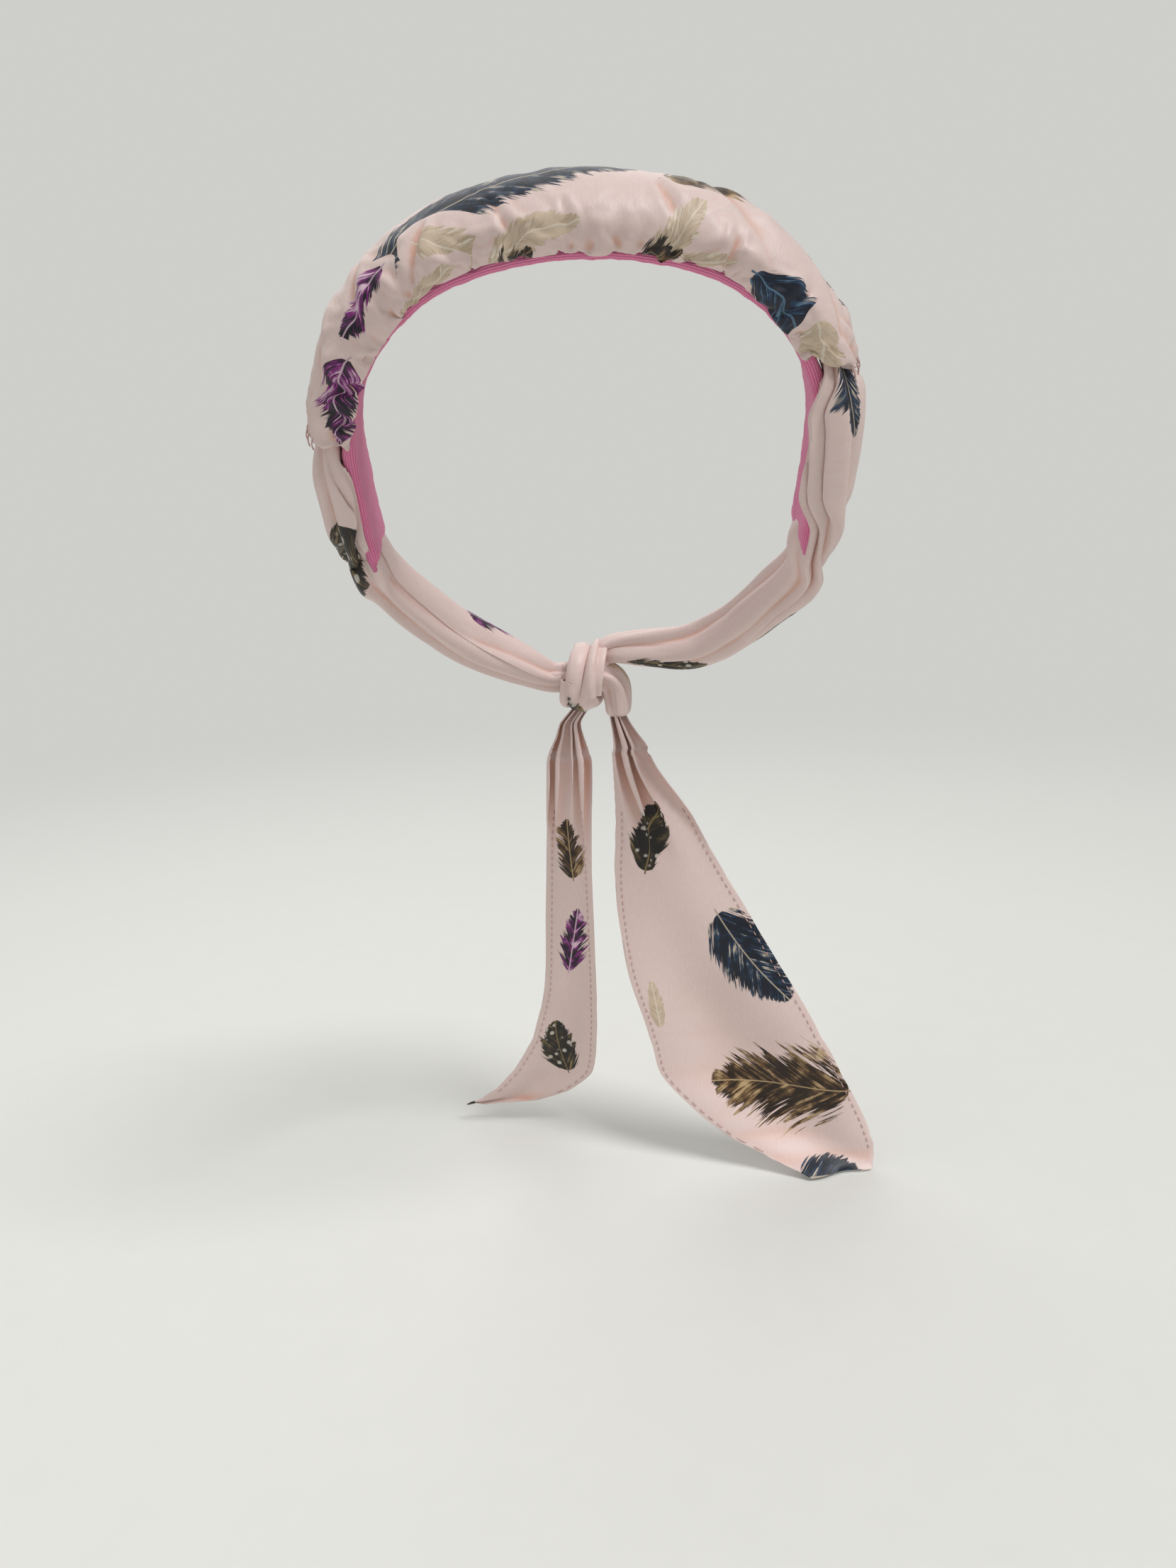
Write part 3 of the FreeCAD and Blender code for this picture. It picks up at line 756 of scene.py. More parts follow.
class CrownCut:
    """The crown's cloth: its flat cut, its gathers and its first shape before the simulation."""

    def __init__(self):
        sizes, _ = settings()
        self.width = sizes.crown_width
        self.front, front_used = gather_points(sizes.cloth_seed, sizes.gather_fullness)
        self.back, back_used = gather_points(sizes.cloth_seed + 5, sizes.gather_fullness)
        self.length = (front_used + back_used) / 2
        self.front = [(s, u * self.length / front_used) for s, u in self.front]
        self.back = [(s, u * self.length / back_used) for s, u in self.back]
        chance = random.Random(sizes.cloth_seed + 9)
        self.creases = []
        for points, base, facing in ((self.front, 0.0, 1.0), (self.back, self.width, -1.0)):
            for _, used in points[1:-1]:
                angle = chance.uniform(-0.75, 0.75)
                self.creases.append((used, base, math.sin(angle), facing * math.cos(angle),
                                     chance.uniform(9.0, 26.0), chance.uniform(1.8, 4.2),
                                     chance.uniform(1.3, 2.4)))
        self.fullness = [blend_between(0.55, 1.7, chance.random() ** 1.5) for _ in range(80)]
        for end, facing in ((0.0, 1.0), (self.length, -1.0)):
            for share in (0.10, 0.22, 0.36, 0.48, 0.62, 0.74, 0.88):
                lean = chance.uniform(-0.25, 0.25)
                self.creases.append((end, (share + chance.uniform(-0.04, 0.04)) * self.width,
                                     facing * math.cos(lean), math.sin(lean), chance.uniform(16.0, 38.0),
                                     chance.uniform(1.4, 2.8), chance.uniform(1.6, 2.6)))
        for (from_s, from_v), (to_s, to_v), depth, width in CROWN_CREASES:
            start = Vector((self.cloth_at(from_s), from_v * self.width))
            run = Vector((self.cloth_at(to_s), to_v * self.width)) - start
            self.creases.append((*start, *run.normalized(), run.length, depth, width))

    def cloth_at(self, along):
        """Cloth place of a band place, on the even middle of the crown."""
        return (along + RIGHT_REACH) / (RIGHT_REACH + LEFT_REACH) * self.length

    def place(self, u, v):
        """First shape of the cloth at shares along and across it."""
        used = u * self.length
        front_s, front_share, front_gap, front_number = gather_at(self.front, used)
        back_s, back_share, back_gap, back_number = gather_at(self.back, used)
        even_s = blend_between(-RIGHT_REACH, LEFT_REACH, u)
        front_pull = math.exp(-((v / 0.17) ** 1.3))
        back_pull = math.exp(-(((1 - v) / 0.17) ** 1.3))
        along = even_s * (1 - front_pull - back_pull) + front_s * front_pull + back_s * back_pull
        across, out = pick(PROFILE_TABLE, v)
        wide, high = crown_scale(along)
        skew = LEFT_SKEW * smooth(0.86, 1.0, u) * (1 - smooth(0.0, 0.34, v))
        along -= skew
        swell = math.sin(math.pi * front_share) ** 0.8 * front_pull * min(front_gap, 18.0) * 0.20
        swell *= self.fullness[front_number]
        swell_back = math.sin(math.pi * back_share) ** 0.8 * back_pull * min(back_gap, 18.0) * 0.17
        swell_back *= self.fullness[40 + back_number]
        from_gather = min(front_share, 1 - front_share) * front_gap
        notch = math.exp(-((from_gather / 1.7) ** 2)) * (1 - smooth(0.0, 0.18, v))
        across = (across * wide - swell * (1 - smooth(0.0, 0.45, v)) + swell_back * smooth(0.55, 1.0, v)
                  + 2.6 * notch)
        drawn = crease_at(self.creases, used, v * self.width)
        rough = (noise.noise(Vector((used * 0.11, v * 6.0, 3.1))) * 0.8
                 + noise.noise(Vector((used * 0.03, v * 2.0, 8.0))) * 1.2)
        edge = math.sin(math.pi * v) ** 0.4
        lowered = LIP_DROP * smooth(30.0, 78.0, abs(along)) * (1 - smooth(0.0, 0.20, v))
        droop = (0.75 * swell * (1 - smooth(0.0, 0.12, v)) - 1.4 * notch
                 + 0.8 * swell_back * smooth(0.88, 1.0, v))
        from_end = min(along + RIGHT_REACH, LEFT_REACH - skew - along)
        tuck = 1 - smooth(0.0, 13.0, max(from_end, 0.0))
        across *= 1 - 0.20 * tuck
        high *= 1 - 0.20 * tuck
        out = (COVER_TOP + (out - COVER_TOP) * high + (swell + swell_back) * 0.6 + rough * edge
               - drawn - lowered - droop)
        if v == 0:
            across = min(across, FRONT_LIP)
        if v > LIP_START:
            across = max(across, BACK_LIP)
        if abs(across) < BAND_CLEAR_HALF:
            out = max(out, COVER_TOP)
        return on_band(along, out, across)

    def flat(self, u, v):
        """The same spot on the flat cut."""
        return u * self.length, v * self.width


def crown_core():
    """Closed form of band and wadding that the crown's cloth lies against while it settles."""
    underside = [(12.6, 5.3), (14.0, 3.6), (13.0, 1.2), (8.0, 0.2), (-8.0, 0.2), (-12.4, 1.2), (-13.2, 3.4),
                 (-12.2, 5.3)]

    def place(u, v):
        along = blend_between(-RIGHT_REACH - 8, LEFT_REACH + 8, u)
        wide, high = crown_scale(along)
        if v < 0.7:
            across, out = pick(PROFILE_TABLE, v / 0.7)
            return on_band(along, 5.4 + (out - COVER_TOP) * high * 0.80, across * wide * 0.88)
        across, out = catmull(underside, (v - 0.7) / 0.3)
        return on_band(along, out, across)

    return cloth("crown_core", 100, 36, place, None, joined=True)


def settle(piece, pins, core, frames, pressure, stiffness, grow=0.005):
    """Lets a cloth settle against the core and keeps its last shape."""
    held = piece.vertex_groups.new(name="held")
    held.add(pins, 1.0, "REPLACE")
    core.modifiers.new("Core", "COLLISION")
    core.collision.thickness_outer = 0.0006
    core.collision.cloth_friction = 4.0
    mod = piece.modifiers.new("Cloth", "CLOTH")
    rules = mod.settings
    rules.vertex_group_mass = "held"
    rules.quality = 5
    rules.mass = 0.12
    rules.tension_stiffness = rules.compression_stiffness = 12.0
    rules.shear_stiffness = 4.0
    rules.bending_stiffness = stiffness
    rules.tension_damping = rules.compression_damping = 6.0
    rules.bending_damping = 0.6
    rules.air_damping = 2.0
    rules.shrink_min = -grow
    rules.use_pressure = True
    rules.uniform_pressure_force = pressure
    rules.effector_weights.gravity = 0.0
    mod.collision_settings.distance_min = 0.0008
    mod.collision_settings.collision_quality = 2
    mod.collision_settings.use_self_collision = False
    mod.point_cache.frame_start = 1
    mod.point_cache.frame_end = frames
    for step in range(1, frames + 1):
        bpy.context.scene.frame_set(step)
    applied(piece)
    piece.vertex_groups.clear()
    bpy.context.scene.frame_set(1)
    bpy.data.objects.remove(core)


def crown_feathers(cut):
    """The crown's print: feathers by band place and share across."""
    wanted = [
        ("navy", -19.0, 0.50, 13.0, 116.0, 25.0, 10.0),
        ("tan", -31.0, 0.12, -34.0, 40.0, 17.0, 0.0),
        ("tan", -13.0, 0.15, 18.0, 42.0, 14.0, 12.0),
        ("speck", -19.0, 0.05, 50.0, 12.0, 9.0, 0.0),
        ("speck", -15.5, 0.045, 20.0, 11.0, 9.0, 0.0),
        ("tan", -45.0, 0.04, 12.0, 32.0, 9.0, 0.0),
        ("tan", 26.0, 0.17, 52.0, 36.0, 14.0, -8.0),
        ("tan", 36.0, 0.07, 8.0, 24.0, 7.0, -6.0),
        ("speck", 22.5, 0.045, 20.0, 19.0, 13.0, 0.0),
        ("blue", 68.0, 0.08, -8.0, 54.0, 21.0, 6.0),
        ("tan", 87.0, 0.12, -10.0, 46.0, 15.0, 0.0),
        ("purple", -63.0, 0.22, 190.0, 34.0, 10.0, 5.0),
        ("purple", -89.0, 0.11, 186.0, 40.0, 18.0, -6.0),
        ("brown", 40.0, 0.70, 20.0, 60.0, 20.0, 8.0),
        ("guinea", -4.0, 0.88, 170.0, 50.0, 15.0, -6.0),
        ("navy", 78.0, 0.66, 190.0, 60.0, 20.0, 6.0),
        ("brown", -66.0, 0.74, 10.0, 60.0, 20.0, 4.0),
        ("tan", -96.0, 0.70, 30.0, 34.0, 14.0, 4.0),
    ]
    placed = [(kind, cut.cloth_at(along), across * cut.width, angle, length, width, curve)
              for kind, along, across, angle, length, width, curve in wanted]
    return [[row for row in placed if row[0] != "speck"], [row for row in placed if row[0] == "speck"]]


class HEADBAND_OT_crown(bpy.types.Operator):
    """Gather the satin crown over the wadding and let it settle"""

    bl_idname = "headband.crown"
    bl_label = "Make Crown"

    def execute(self, context):
        sizes, _ = settings()
        cut = CrownCut()
        columns = int(cut.length / sizes.cloth_step)
        rows = int(cut.width / sizes.cloth_step)
        piece = cloth("crown_panel_cloth", columns, rows, cut.place, cut.flat)
        pins = set()
        for row, points in ((0, cut.front), (rows, cut.back)):
            pins.update((round(used / cut.length * columns), row) for _, used in points)
        pins.update((column, row) for column in (0, columns) for row in range(rows + 1))
        indices = [row * (columns + 1) + column for column, row in pins]
        settle(piece, indices, crown_core(), frames=12, pressure=0.35, stiffness=0.9)
        for vertex in piece.data.vertices:
            row, column = divmod(vertex.index, columns + 1)
            drawn = crease_at(cut.creases, column / columns * cut.length, row / rows * cut.width)
            vertex.co -= vertex.normal * (drawn * sizes.crease_share * MM)
        thicken(piece, sizes.satin_thickness, 0.0, levels=1)
        mark_painted_fold_shade(piece, gain=1.7)
        finish(piece, satin("crown satin", crown_feathers(cut), 2.0), "printed_satin", "crown_panel")
        return {"FINISHED"}


class HEADBAND_OT_wadding(bpy.types.Operator):
    """Fill the crown with lumpy wadding"""

    bl_idname = "headband.wadding"
    bl_label = "Make Wadding"

    def execute(self, context):
        def place(u, v):
            along = blend_between(-RIGHT_REACH + 4, LEFT_REACH - 4, u)
            wide, high = crown_scale(along)
            end = math.sqrt(max(1 - abs(2 * u - 1) ** 14, 0.0))
            if v < 0.75:
                across, out = pick(PROFILE_TABLE, v / 0.75)
            else:
                across = blend_between(CROWN_PROFILE[-1][0], CROWN_PROFILE[0][0], (v - 0.75) / 0.25)
                out = COVER_TOP
            point = Vector((along * 0.09, across * 0.12, out * 0.12))
            lump = 1.0 + 0.06 * noise.noise(point) + 0.025 * noise.noise(point * 3.1)
            rise = max((out - COVER_TOP) * high * 0.76 * lump, 0.0)
            return on_band(along, 5.9 + rise * end, across * wide * 0.78 * lump * max(end, 0.15))

        bm = bmesh.new()
        lay_grid(bm, 150, 60, place)
        bmesh.ops.remove_doubles(bm, verts=bm.verts, dist=2e-5)
        bmesh.ops.holes_fill(bm, edges=[edge for edge in bm.edges if edge.is_boundary], sides=0)
        piece = new_piece("crown_wadding_fill", bm)
        finish(piece, fibre_wadding(), "wadding", "crown_wadding")
        return {"FINISHED"}


# ---------------------------------------------------------------- band

def rounded_strip(width, thickness, share):
    """A spot on a full-round strip's section: across and out from its middle, and the distance round."""
    straight = width - thickness
    radius = thickness / 2
    girth = 2 * straight + 2 * math.pi * radius
    at = share * girth
    if at < straight:
        return at - straight / 2, radius, at
    at -= straight
    if at < math.pi * radius:
        angle = at / radius
        return straight / 2 + radius * math.sin(angle), radius * math.cos(angle), share * girth
    at -= math.pi * radius
    if at < straight:
        return straight / 2 - at, -radius, share * girth
    angle = (at - straight) / radius
    return -straight / 2 - radius * math.sin(angle), -radius * math.cos(angle), share * girth


class HEADBAND_OT_band(bpy.types.Operator):
    """Make the jersey tube and the elastic inside it"""

    bl_idname = "headband.band"
    bl_label = "Make Band"

    def execute(self, context):
        sizes, _ = settings()
        cut = CrownCut()
        caught = [(along, -13.0) for along, _ in cut.front] + [(along, 13.5) for along, _ in cut.back]
        total = 2 * BAND_END

        def cover(u, v):
            along = blend_between(-BAND_END, BAND_END, u)
            end = smooth(0.0, 5.0, BAND_END - abs(along))
            across, out, _ = rounded_strip(BAND_WIDTH, BAND_THICKNESS * blend_between(0.3, 1.0, end), v)
            dent = sum(0.7 * math.exp(-((along - s) ** 2 + (across - edge * 0.95) ** 2) / 5.0)
                       for s, edge in caught if abs(along - s) < 7) if out > 0 else 0.0
            ripple = 0.16 * noise.noise(Vector((along * 0.16, across * 0.2, 2.0 if out > 0 else 7.0)))
            ripple += 0.07 * noise.noise(Vector((along * 0.5, across * 0.3, 5.0)))
            out = out * (1.0 + ripple) - dent
            return on_band(along, BAND_THICKNESS / 2 + out, across * (1.0 + ripple * 0.1))

        def cover_flat(u, v):
            return u * total, rounded_strip(BAND_WIDTH, BAND_THICKNESS, v)[2]

        piece = cloth("band_cover_jersey", 240, 56, cover, cover_flat, joined=True)
        thicken(piece, sizes.jersey_thickness, -1.0)
        finish(piece, jersey(), "pink_jersey", "band_cover")

        def strip(u, v):
            along = blend_between(-BAND_END + ELASTIC_SETBACK, BAND_END - ELASTIC_SETBACK, u)
            across, out, _ = rounded_strip(ELASTIC_WIDTH, ELASTIC_THICKNESS, v)
            cords = 0.07 * math.sin(2 * math.pi * across / 1.6)
            return on_band(along, BAND_THICKNESS / 2 + out * (1 + cords), across)

        def strip_flat(u, v):
            return u * total, rounded_strip(ELASTIC_WIDTH, ELASTIC_THICKNESS, v)[2]

        bm = bmesh.new()
        lay_grid(bm, 200, 64, strip, strip_flat)
        bmesh.ops.remove_doubles(bm, verts=bm.verts, dist=2e-5)
        bmesh.ops.holes_fill(bm, edges=[edge for edge in bm.edges if edge.is_boundary], sides=0)
        piece = new_piece("band_elastic_strip", bm)
        finish(piece, woven_elastic(), "elastic", "band_elastic")
        return {"FINISHED"}


class HEADBAND_OT_stitches(bpy.types.Operator):
    """Sew the gathers and the side joins with separate stitches"""

    bl_idname = "headband.stitches"
    bl_label = "Make Stitches"

    def execute(self, context):
        sizes, _ = settings()
        cut = CrownCut()
        chance = random.Random(sizes.cloth_seed + 21)
        for name, points, lip in (("front", cut.front, -13.2), ("back", cut.back, 14.2)):
            bm = bmesh.new()
            places = [s for s, _ in points[1:-1]]
            places += [(a + b) / 2 for (a, _), (b, _) in zip(points, points[1:]) if b - a > 7]
            for along in places:
                half = chance.uniform(1.2, 1.7)
                wide = crown_scale(along)[0]
                run = [on_band(along + half * t, 5.2 + 1.0 * math.cos(t * math.pi / 2) ** 0.6 + 0.1,
                               lip * wide * (1.0 + 0.02 * t)) for t in (-1.0, -0.8, -0.4, 0.0, 0.4, 0.8, 1.0)]
                add_tube(bm, run, sizes.thread_radius)
            piece = new_piece(f"{name}_gather_thread", bm)
            finish(piece, sewing_thread(), "thread", f"{name}_gather_stitches")
        for name, side in SIDES.items():
            bm = bmesh.new()
            reach = side * (LEFT_REACH if side > 0 else RIGHT_REACH)
            for index in range(7):
                angle = math.radians(-60 + 20 * index)
                rise = 6.0 + 5.6 + 6.1 * math.cos(angle)
                across = 12.0 * math.sin(angle)
                run = [on_band(reach + t * 2.0, rise - 0.7 * t * t, across)
                       for t in (-1.0, -0.8, -0.4, 0.0, 0.4, 0.8, 1.0)]
                add_tube(bm, run, sizes.thread_radius)
            piece = new_piece(f"{name}_side_thread", bm)
            finish(piece, sewing_thread(), "thread", f"{name}_side_stitches")
        return {"FINISHED"}


# ---------------------------------------------------------------- ties and knot

class Bundle:
    """A gathered roll of cloth along a line, with lengthwise folds that wander round it."""

    def __init__(self, rows, folds, twist=0.0, seed=0, overlap=0.35, on_band=False):
        """rows are centre x, y, z, outward x, y, z, half width and half thickness.

        folds are start angle, drift in degrees, depth as a share, width in radians, and where it starts and ends.
        """
        self.table, self.length = even_curve(rows, 160)
        self.folds = folds
        self.twist = math.radians(twist)
        self.seed = seed
        self.overlap = overlap
        self.on_band = on_band
        middle = rows[len(rows) // 2]
        self.girth = 2 * math.pi * math.sqrt((middle[6] ** 2 + middle[7] ** 2) / 2)

    def frame(self, u):
        """Centre, wide axis, thick axis and the two half sizes."""
        row = pick(self.table, u)
        ahead, before = pick(self.table, u + 0.012), pick(self.table, u - 0.012)
        forward = (Vector(ahead[:3]) - Vector(before[:3])).normalized()
        wide = forward.cross(Vector(row[3:6])).normalized()
        return Vector(row[:3]), wide, wide.cross(forward), row[6], row[7]

    def radius(self, angle, u):
        """The section's size at an angle, as a share of the plain oval."""
        size = 1.0
        for start, drift, depth, width, begin, end in self.folds:
            at = math.radians(start + drift * u) + 0.25 * math.sin(7.0 * u + start)
            away = (angle - at + math.pi) % (2 * math.pi) - math.pi
            shape = math.exp(-((away / (width * (0.45 if away < 0 else 1.2))) ** 2))
            crest = math.exp(-(((away + width * 0.95) / (width * 0.7)) ** 2))
            fade = smooth(begin - 0.08, begin + 0.08, u) * (1 - smooth(end - 0.1, end + 0.1, u))
            size += fade * depth * (0.35 * crest - shape)
        x, y, along = math.cos(angle), math.sin(angle), u * self.length
        wrinkle = noise.noise(Vector((x * 1.4, y * 1.4, along * 0.045 + self.seed)))
        fine = noise.noise(Vector((x * 4, y * 4, along * 0.09 + self.seed)))
        return size + 0.075 * wrinkle + 0.028 * fine

    def place(self, u, v):
        """A point of the roll: u along it and v round it, with the cloth's edge lapped over its start."""
        centre, wide, thick, half_width, half_thickness = self.frame(u)
        turn = 2 * math.pi * (1 + self.overlap / (2 * math.pi))
        angle = v * turn - math.pi / 2 - self.overlap / 2
        size = self.radius(angle, u) * (1.0 - 0.10 * smooth(0.86, 0.98, v))
        spin = angle + self.twist * u
        point = (centre + wide * (half_width * size * math.cos(spin))
                 + thick * (half_thickness * size * math.sin(spin)))
        return clear_of_band(point) if self.on_band else point

    def flat(self, u, v):
        """The same spot on the flat strip."""
        return u * self.length, v * self.girth * FOLD_ALLOWANCE


def tie_rows(name):
    """Centre line of a tie, from under the crown's end, down the band, over its end and round to the knot."""
    side = SIDES[name]
    crown_end = LEFT_REACH - LEFT_SKEW / 2 if side > 0 else RIGHT_REACH
    start = crown_end - 10.0
    forward = TIE_FORWARD[name]
    rows = []
    for step in range(9):
        reach = blend_between(start, BAND_END, step / 8)
        grown = smooth(-4.0, 12.0, reach - crown_end)
        sleeve = smooth(BAND_END - 16.0, BAND_END - 2.0, reach)
        half_width = blend_between(blend_between(9.0, TIE_BAND_SECTION[0], grown), 14.2, sleeve)
        half_thickness = blend_between(blend_between(3.4, TIE_BAND_SECTION[1], grown), 8.2, sleeve)
        lift = blend_between(BAND_THICKNESS + TIE_GAP + half_thickness, 7.0, sleeve)
        across = -forward * grown * (1 - sleeve)
        centre = on_band(side * reach, lift - 0.25 * forward * grown * (1 - sleeve), across)
        lean = Vector((0, -0.08 * forward * grown * (1 - sleeve), 0))
        normal = TILT @ (band_station(side * reach)[1] + lean)
        rows.append((*centre, *normal, half_width, half_thickness))
    for (x, y, z), wide, thick in zip(TIE_CENTRES[name], TIE_HALF_WIDTHS, TIE_HALF_THICKNESSES):
        out = Vector((side * x, y, 0)).normalized()
        rows.append((side * x, y, z, *out, wide, thick))
    end = KNOT_CENTRE + TIE_ENDS[name]
    rows.append((*end, 0.0, 1.0, 0.0, TIE_HALF_WIDTHS[-1] - 0.8, TIE_HALF_THICKNESSES[-1] - 0.8))
    inside = end + TIE_TUCK[name]
    rows.append((*inside, 0.0, 1.0, 0.0, *TIE_TUCK_SIZE[name]))
    return rows


def clear_of_band(point):
    """Moves a point of cloth out of the band, to its outer face or in front of its edge."""
    flat = TILT.transposed() @ point
    best = None
    for side in SIDES.values():
        if flat.x * side < 40.0:
            continue
        low, high = 60.0, BAND_END
        for _ in range(18):
            middle = (low + high) / 2
            station, normal = band_station(side * middle)
            down = Vector((normal.z, 0, -normal.x)) * side
            if (flat - station).dot(down) > 0:
                low = middle
            else:
                high = middle
        if low > BAND_END - 9.0:
            return point
        station, normal = band_station(side * low)
        best = (flat - station).dot(normal), side * low
    if best is None:
        return point
    out, along = best
    across = flat.y
    reach = abs(along)
    if across < -TIE_EDGE:
        start = TIE_HOOK_START[math.copysign(1.0, along)]
        fade = smooth(start, start + 16.0, reach) * (1 - smooth(BAND_END - 26.0, BAND_END - 9.0, reach))
        return on_band(along, out - TIE_HOOK * fade * smooth(TIE_EDGE, TIE_EDGE + 4.0, -across), across)
    if abs(across) > TIE_EDGE or not -0.5 < out < BAND_THICKNESS + TIE_GAP:
        return point
    lift = BAND_THICKNESS + TIE_GAP - out
    ahead = across + 13.6
    if ahead < lift:
        return on_band(along, out, -13.6)
    return on_band(along, BAND_THICKNESS + TIE_GAP, across)


# Folds of a tie, as Bundle takes them, and its feathers.
TIE_FOLDS = {
    "left": [(60.0, 150.0, 0.34, 0.50, -0.2, 0.75), (150.0, 120.0, 0.26, 0.40, 0.0, 1.2),
             (2.0, 110.0, 0.40, 0.34, 0.0, 0.55), (-38.0, 60.0, 0.30, 0.28, 0.06, 0.6),
             (250.0, 100.0, 0.22, 0.45, 0.2, 1.2), (10.0, 60.0, 0.22, 0.35, 0.5, 1.2),
             (100.0, -40.0, 0.20, 0.30, 0.55, 1.2)],
    "right": [(95.0, 30.0, 0.40, 0.42, -0.2, 0.6), (40.0, -20.0, 0.26, 0.40, 0.0, 0.55),
              (150.0, 60.0, 0.28, 0.45, 0.1, 1.2), (60.0, -60.0, 0.26, 0.35, 0.45, 1.2),
              (110.0, 20.0, 0.22, 0.30, 0.5, 1.2), (240.0, 40.0, 0.2, 0.4, 0.0, 1.2)],
}
TIE_PRINT = {
    "left": [("navy", 24.0, 36.0, 10.0, 34.0, 12.0, 0.0), ("brown", 140.0, 34.0, 10.0, 42.0, 18.0, 4.0),
             ("guinea", 190.0, 16.0, 170.0, 36.0, 16.0, 0.0)],
    "right": [("guinea", 56.0, 53.0, 5.0, 30.0, 28.0, 0.0), ("purple", 150.0, 24.0, 20.0, 40.0, 18.0, 4.0),
              ("tan", 30.0, 4.0, 60.0, 24.0, 10.0, 0.0)],
}


class HEADBAND_OT_ties(bpy.types.Operator):
    """Roll the two satin ties from the crown's ends to the knot"""

    bl_idname = "headband.ties"
    bl_label = "Make Ties"

    def execute(self, context):
        sizes, _ = settings()
        for name, side in SIDES.items():
            bundle = Bundle(tie_rows(name), TIE_FOLDS[name], seed=4.0 + 3 * side, on_band=True)
            piece = cloth(f"{name}_tie_cloth", 190, 84, bundle.place, bundle.flat)
            thicken(piece, sizes.satin_thickness, 0.0)
            mark_painted_fold_shade(piece, passes=5, gain=1.9)
            material = satin(f"{name} tie satin", [TIE_PRINT[name]], 20.0 + side)
            finish(piece, material, "printed_satin", f"{name}_tie")
        return {"FINISHED"}


class HEADBAND_OT_knot(bpy.types.Operator):
    """Tie the nape knot: the pass through it and the turn round it"""

    bl_idname = "headband.knot"
    bl_label = "Make Knot"

    def execute(self, context):
        sizes, _ = settings()
        steps = [(-17.5, -0.8, 1.2), (-8.0, 0.0, 0.0), (0.0, 0.0, 0.0), (8.5, 0.0, 0.0), (13.0, 0.8, -4.0),
                 (14.2, 1.2, -11.0), (14.0, 1.4, -17.0), (14.0, 1.4, -18.6)]
        halves = [4.6, 6.2, 7.0, 6.8, 6.5, 5.9, 5.3, 3.4]
        rows = [(*(KNOT_CENTRE + Vector(step)), 0.0, 1.0, 0.0, half, half)
                for step, half in zip(steps, halves)]
        folds = [(40.0, 60.0, 0.30, 0.35, -0.2, 1.2), (110.0, -30.0, 0.30, 0.35, -0.2, 1.2),
                 (200.0, 40.0, 0.25, 0.4, -0.2, 1.2), (290.0, 30.0, 0.25, 0.4, -0.2, 1.2)]
        bundle = Bundle(rows, folds, seed=9.0)
        piece = cloth("knot_core_cloth", 60, 72, bundle.place, bundle.flat)
        thicken(piece, sizes.satin_thickness, 0.0)
        mark_painted_fold_shade(piece)
        prints = [("tan", 30.0, 14.0, 20.0, 26.0, 10.0, 0.0)]
        finish(piece, satin("knot core satin", [prints], 40.0), "printed_satin", "knot_core")

        rows = []
        steps = 12
        for step in range(steps + 1):
            turn = math.radians(-125 + 390 * step / steps)
            radius = 12.3 - 0.9 * step / steps
            drift = 4.0 * math.cos(turn - 0.7) + 1.5 - 3.0 * step / steps
            out = Vector((0.0, math.sin(turn), math.cos(turn)))
            centre = KNOT_CENTRE + Vector((drift * 0.8, 0, 0)) + out * radius
            facing = 0.5 + 0.5 * math.sin(turn)
            rows.append((*centre, *out, blend_between(7.4, 9.2, facing), blend_between(3.4, 4.3, facing)))
        folds = [(70.0, 50.0, 0.45, 0.30, -0.2, 1.2), (110.0, -30.0, 0.42, 0.30, -0.2, 1.2),
                 (30.0, 30.0, 0.3, 0.25, -0.2, 0.7), (150.0, -20.0, 0.3, 0.25, 0.3, 1.2)]
        bundle = Bundle(rows, folds, seed=12.0)
        piece = cloth("knot_wrap_cloth", 120, 72, bundle.place, bundle.flat)
        thicken(piece, sizes.satin_thickness, 0.0)
        mark_painted_fold_shade(piece)
        prints = [("navy", 36.0, 22.0, 70.0, 30.0, 14.0, 3.0), ("guinea", 66.0, 30.0, 20.0, 26.0, 12.0, 0.0)]
        finish(piece, satin("knot wrap satin", [prints], 50.0), "printed_satin", "knot_wrap")
        return {"FINISHED"}


# ---------------------------------------------------------------- tails

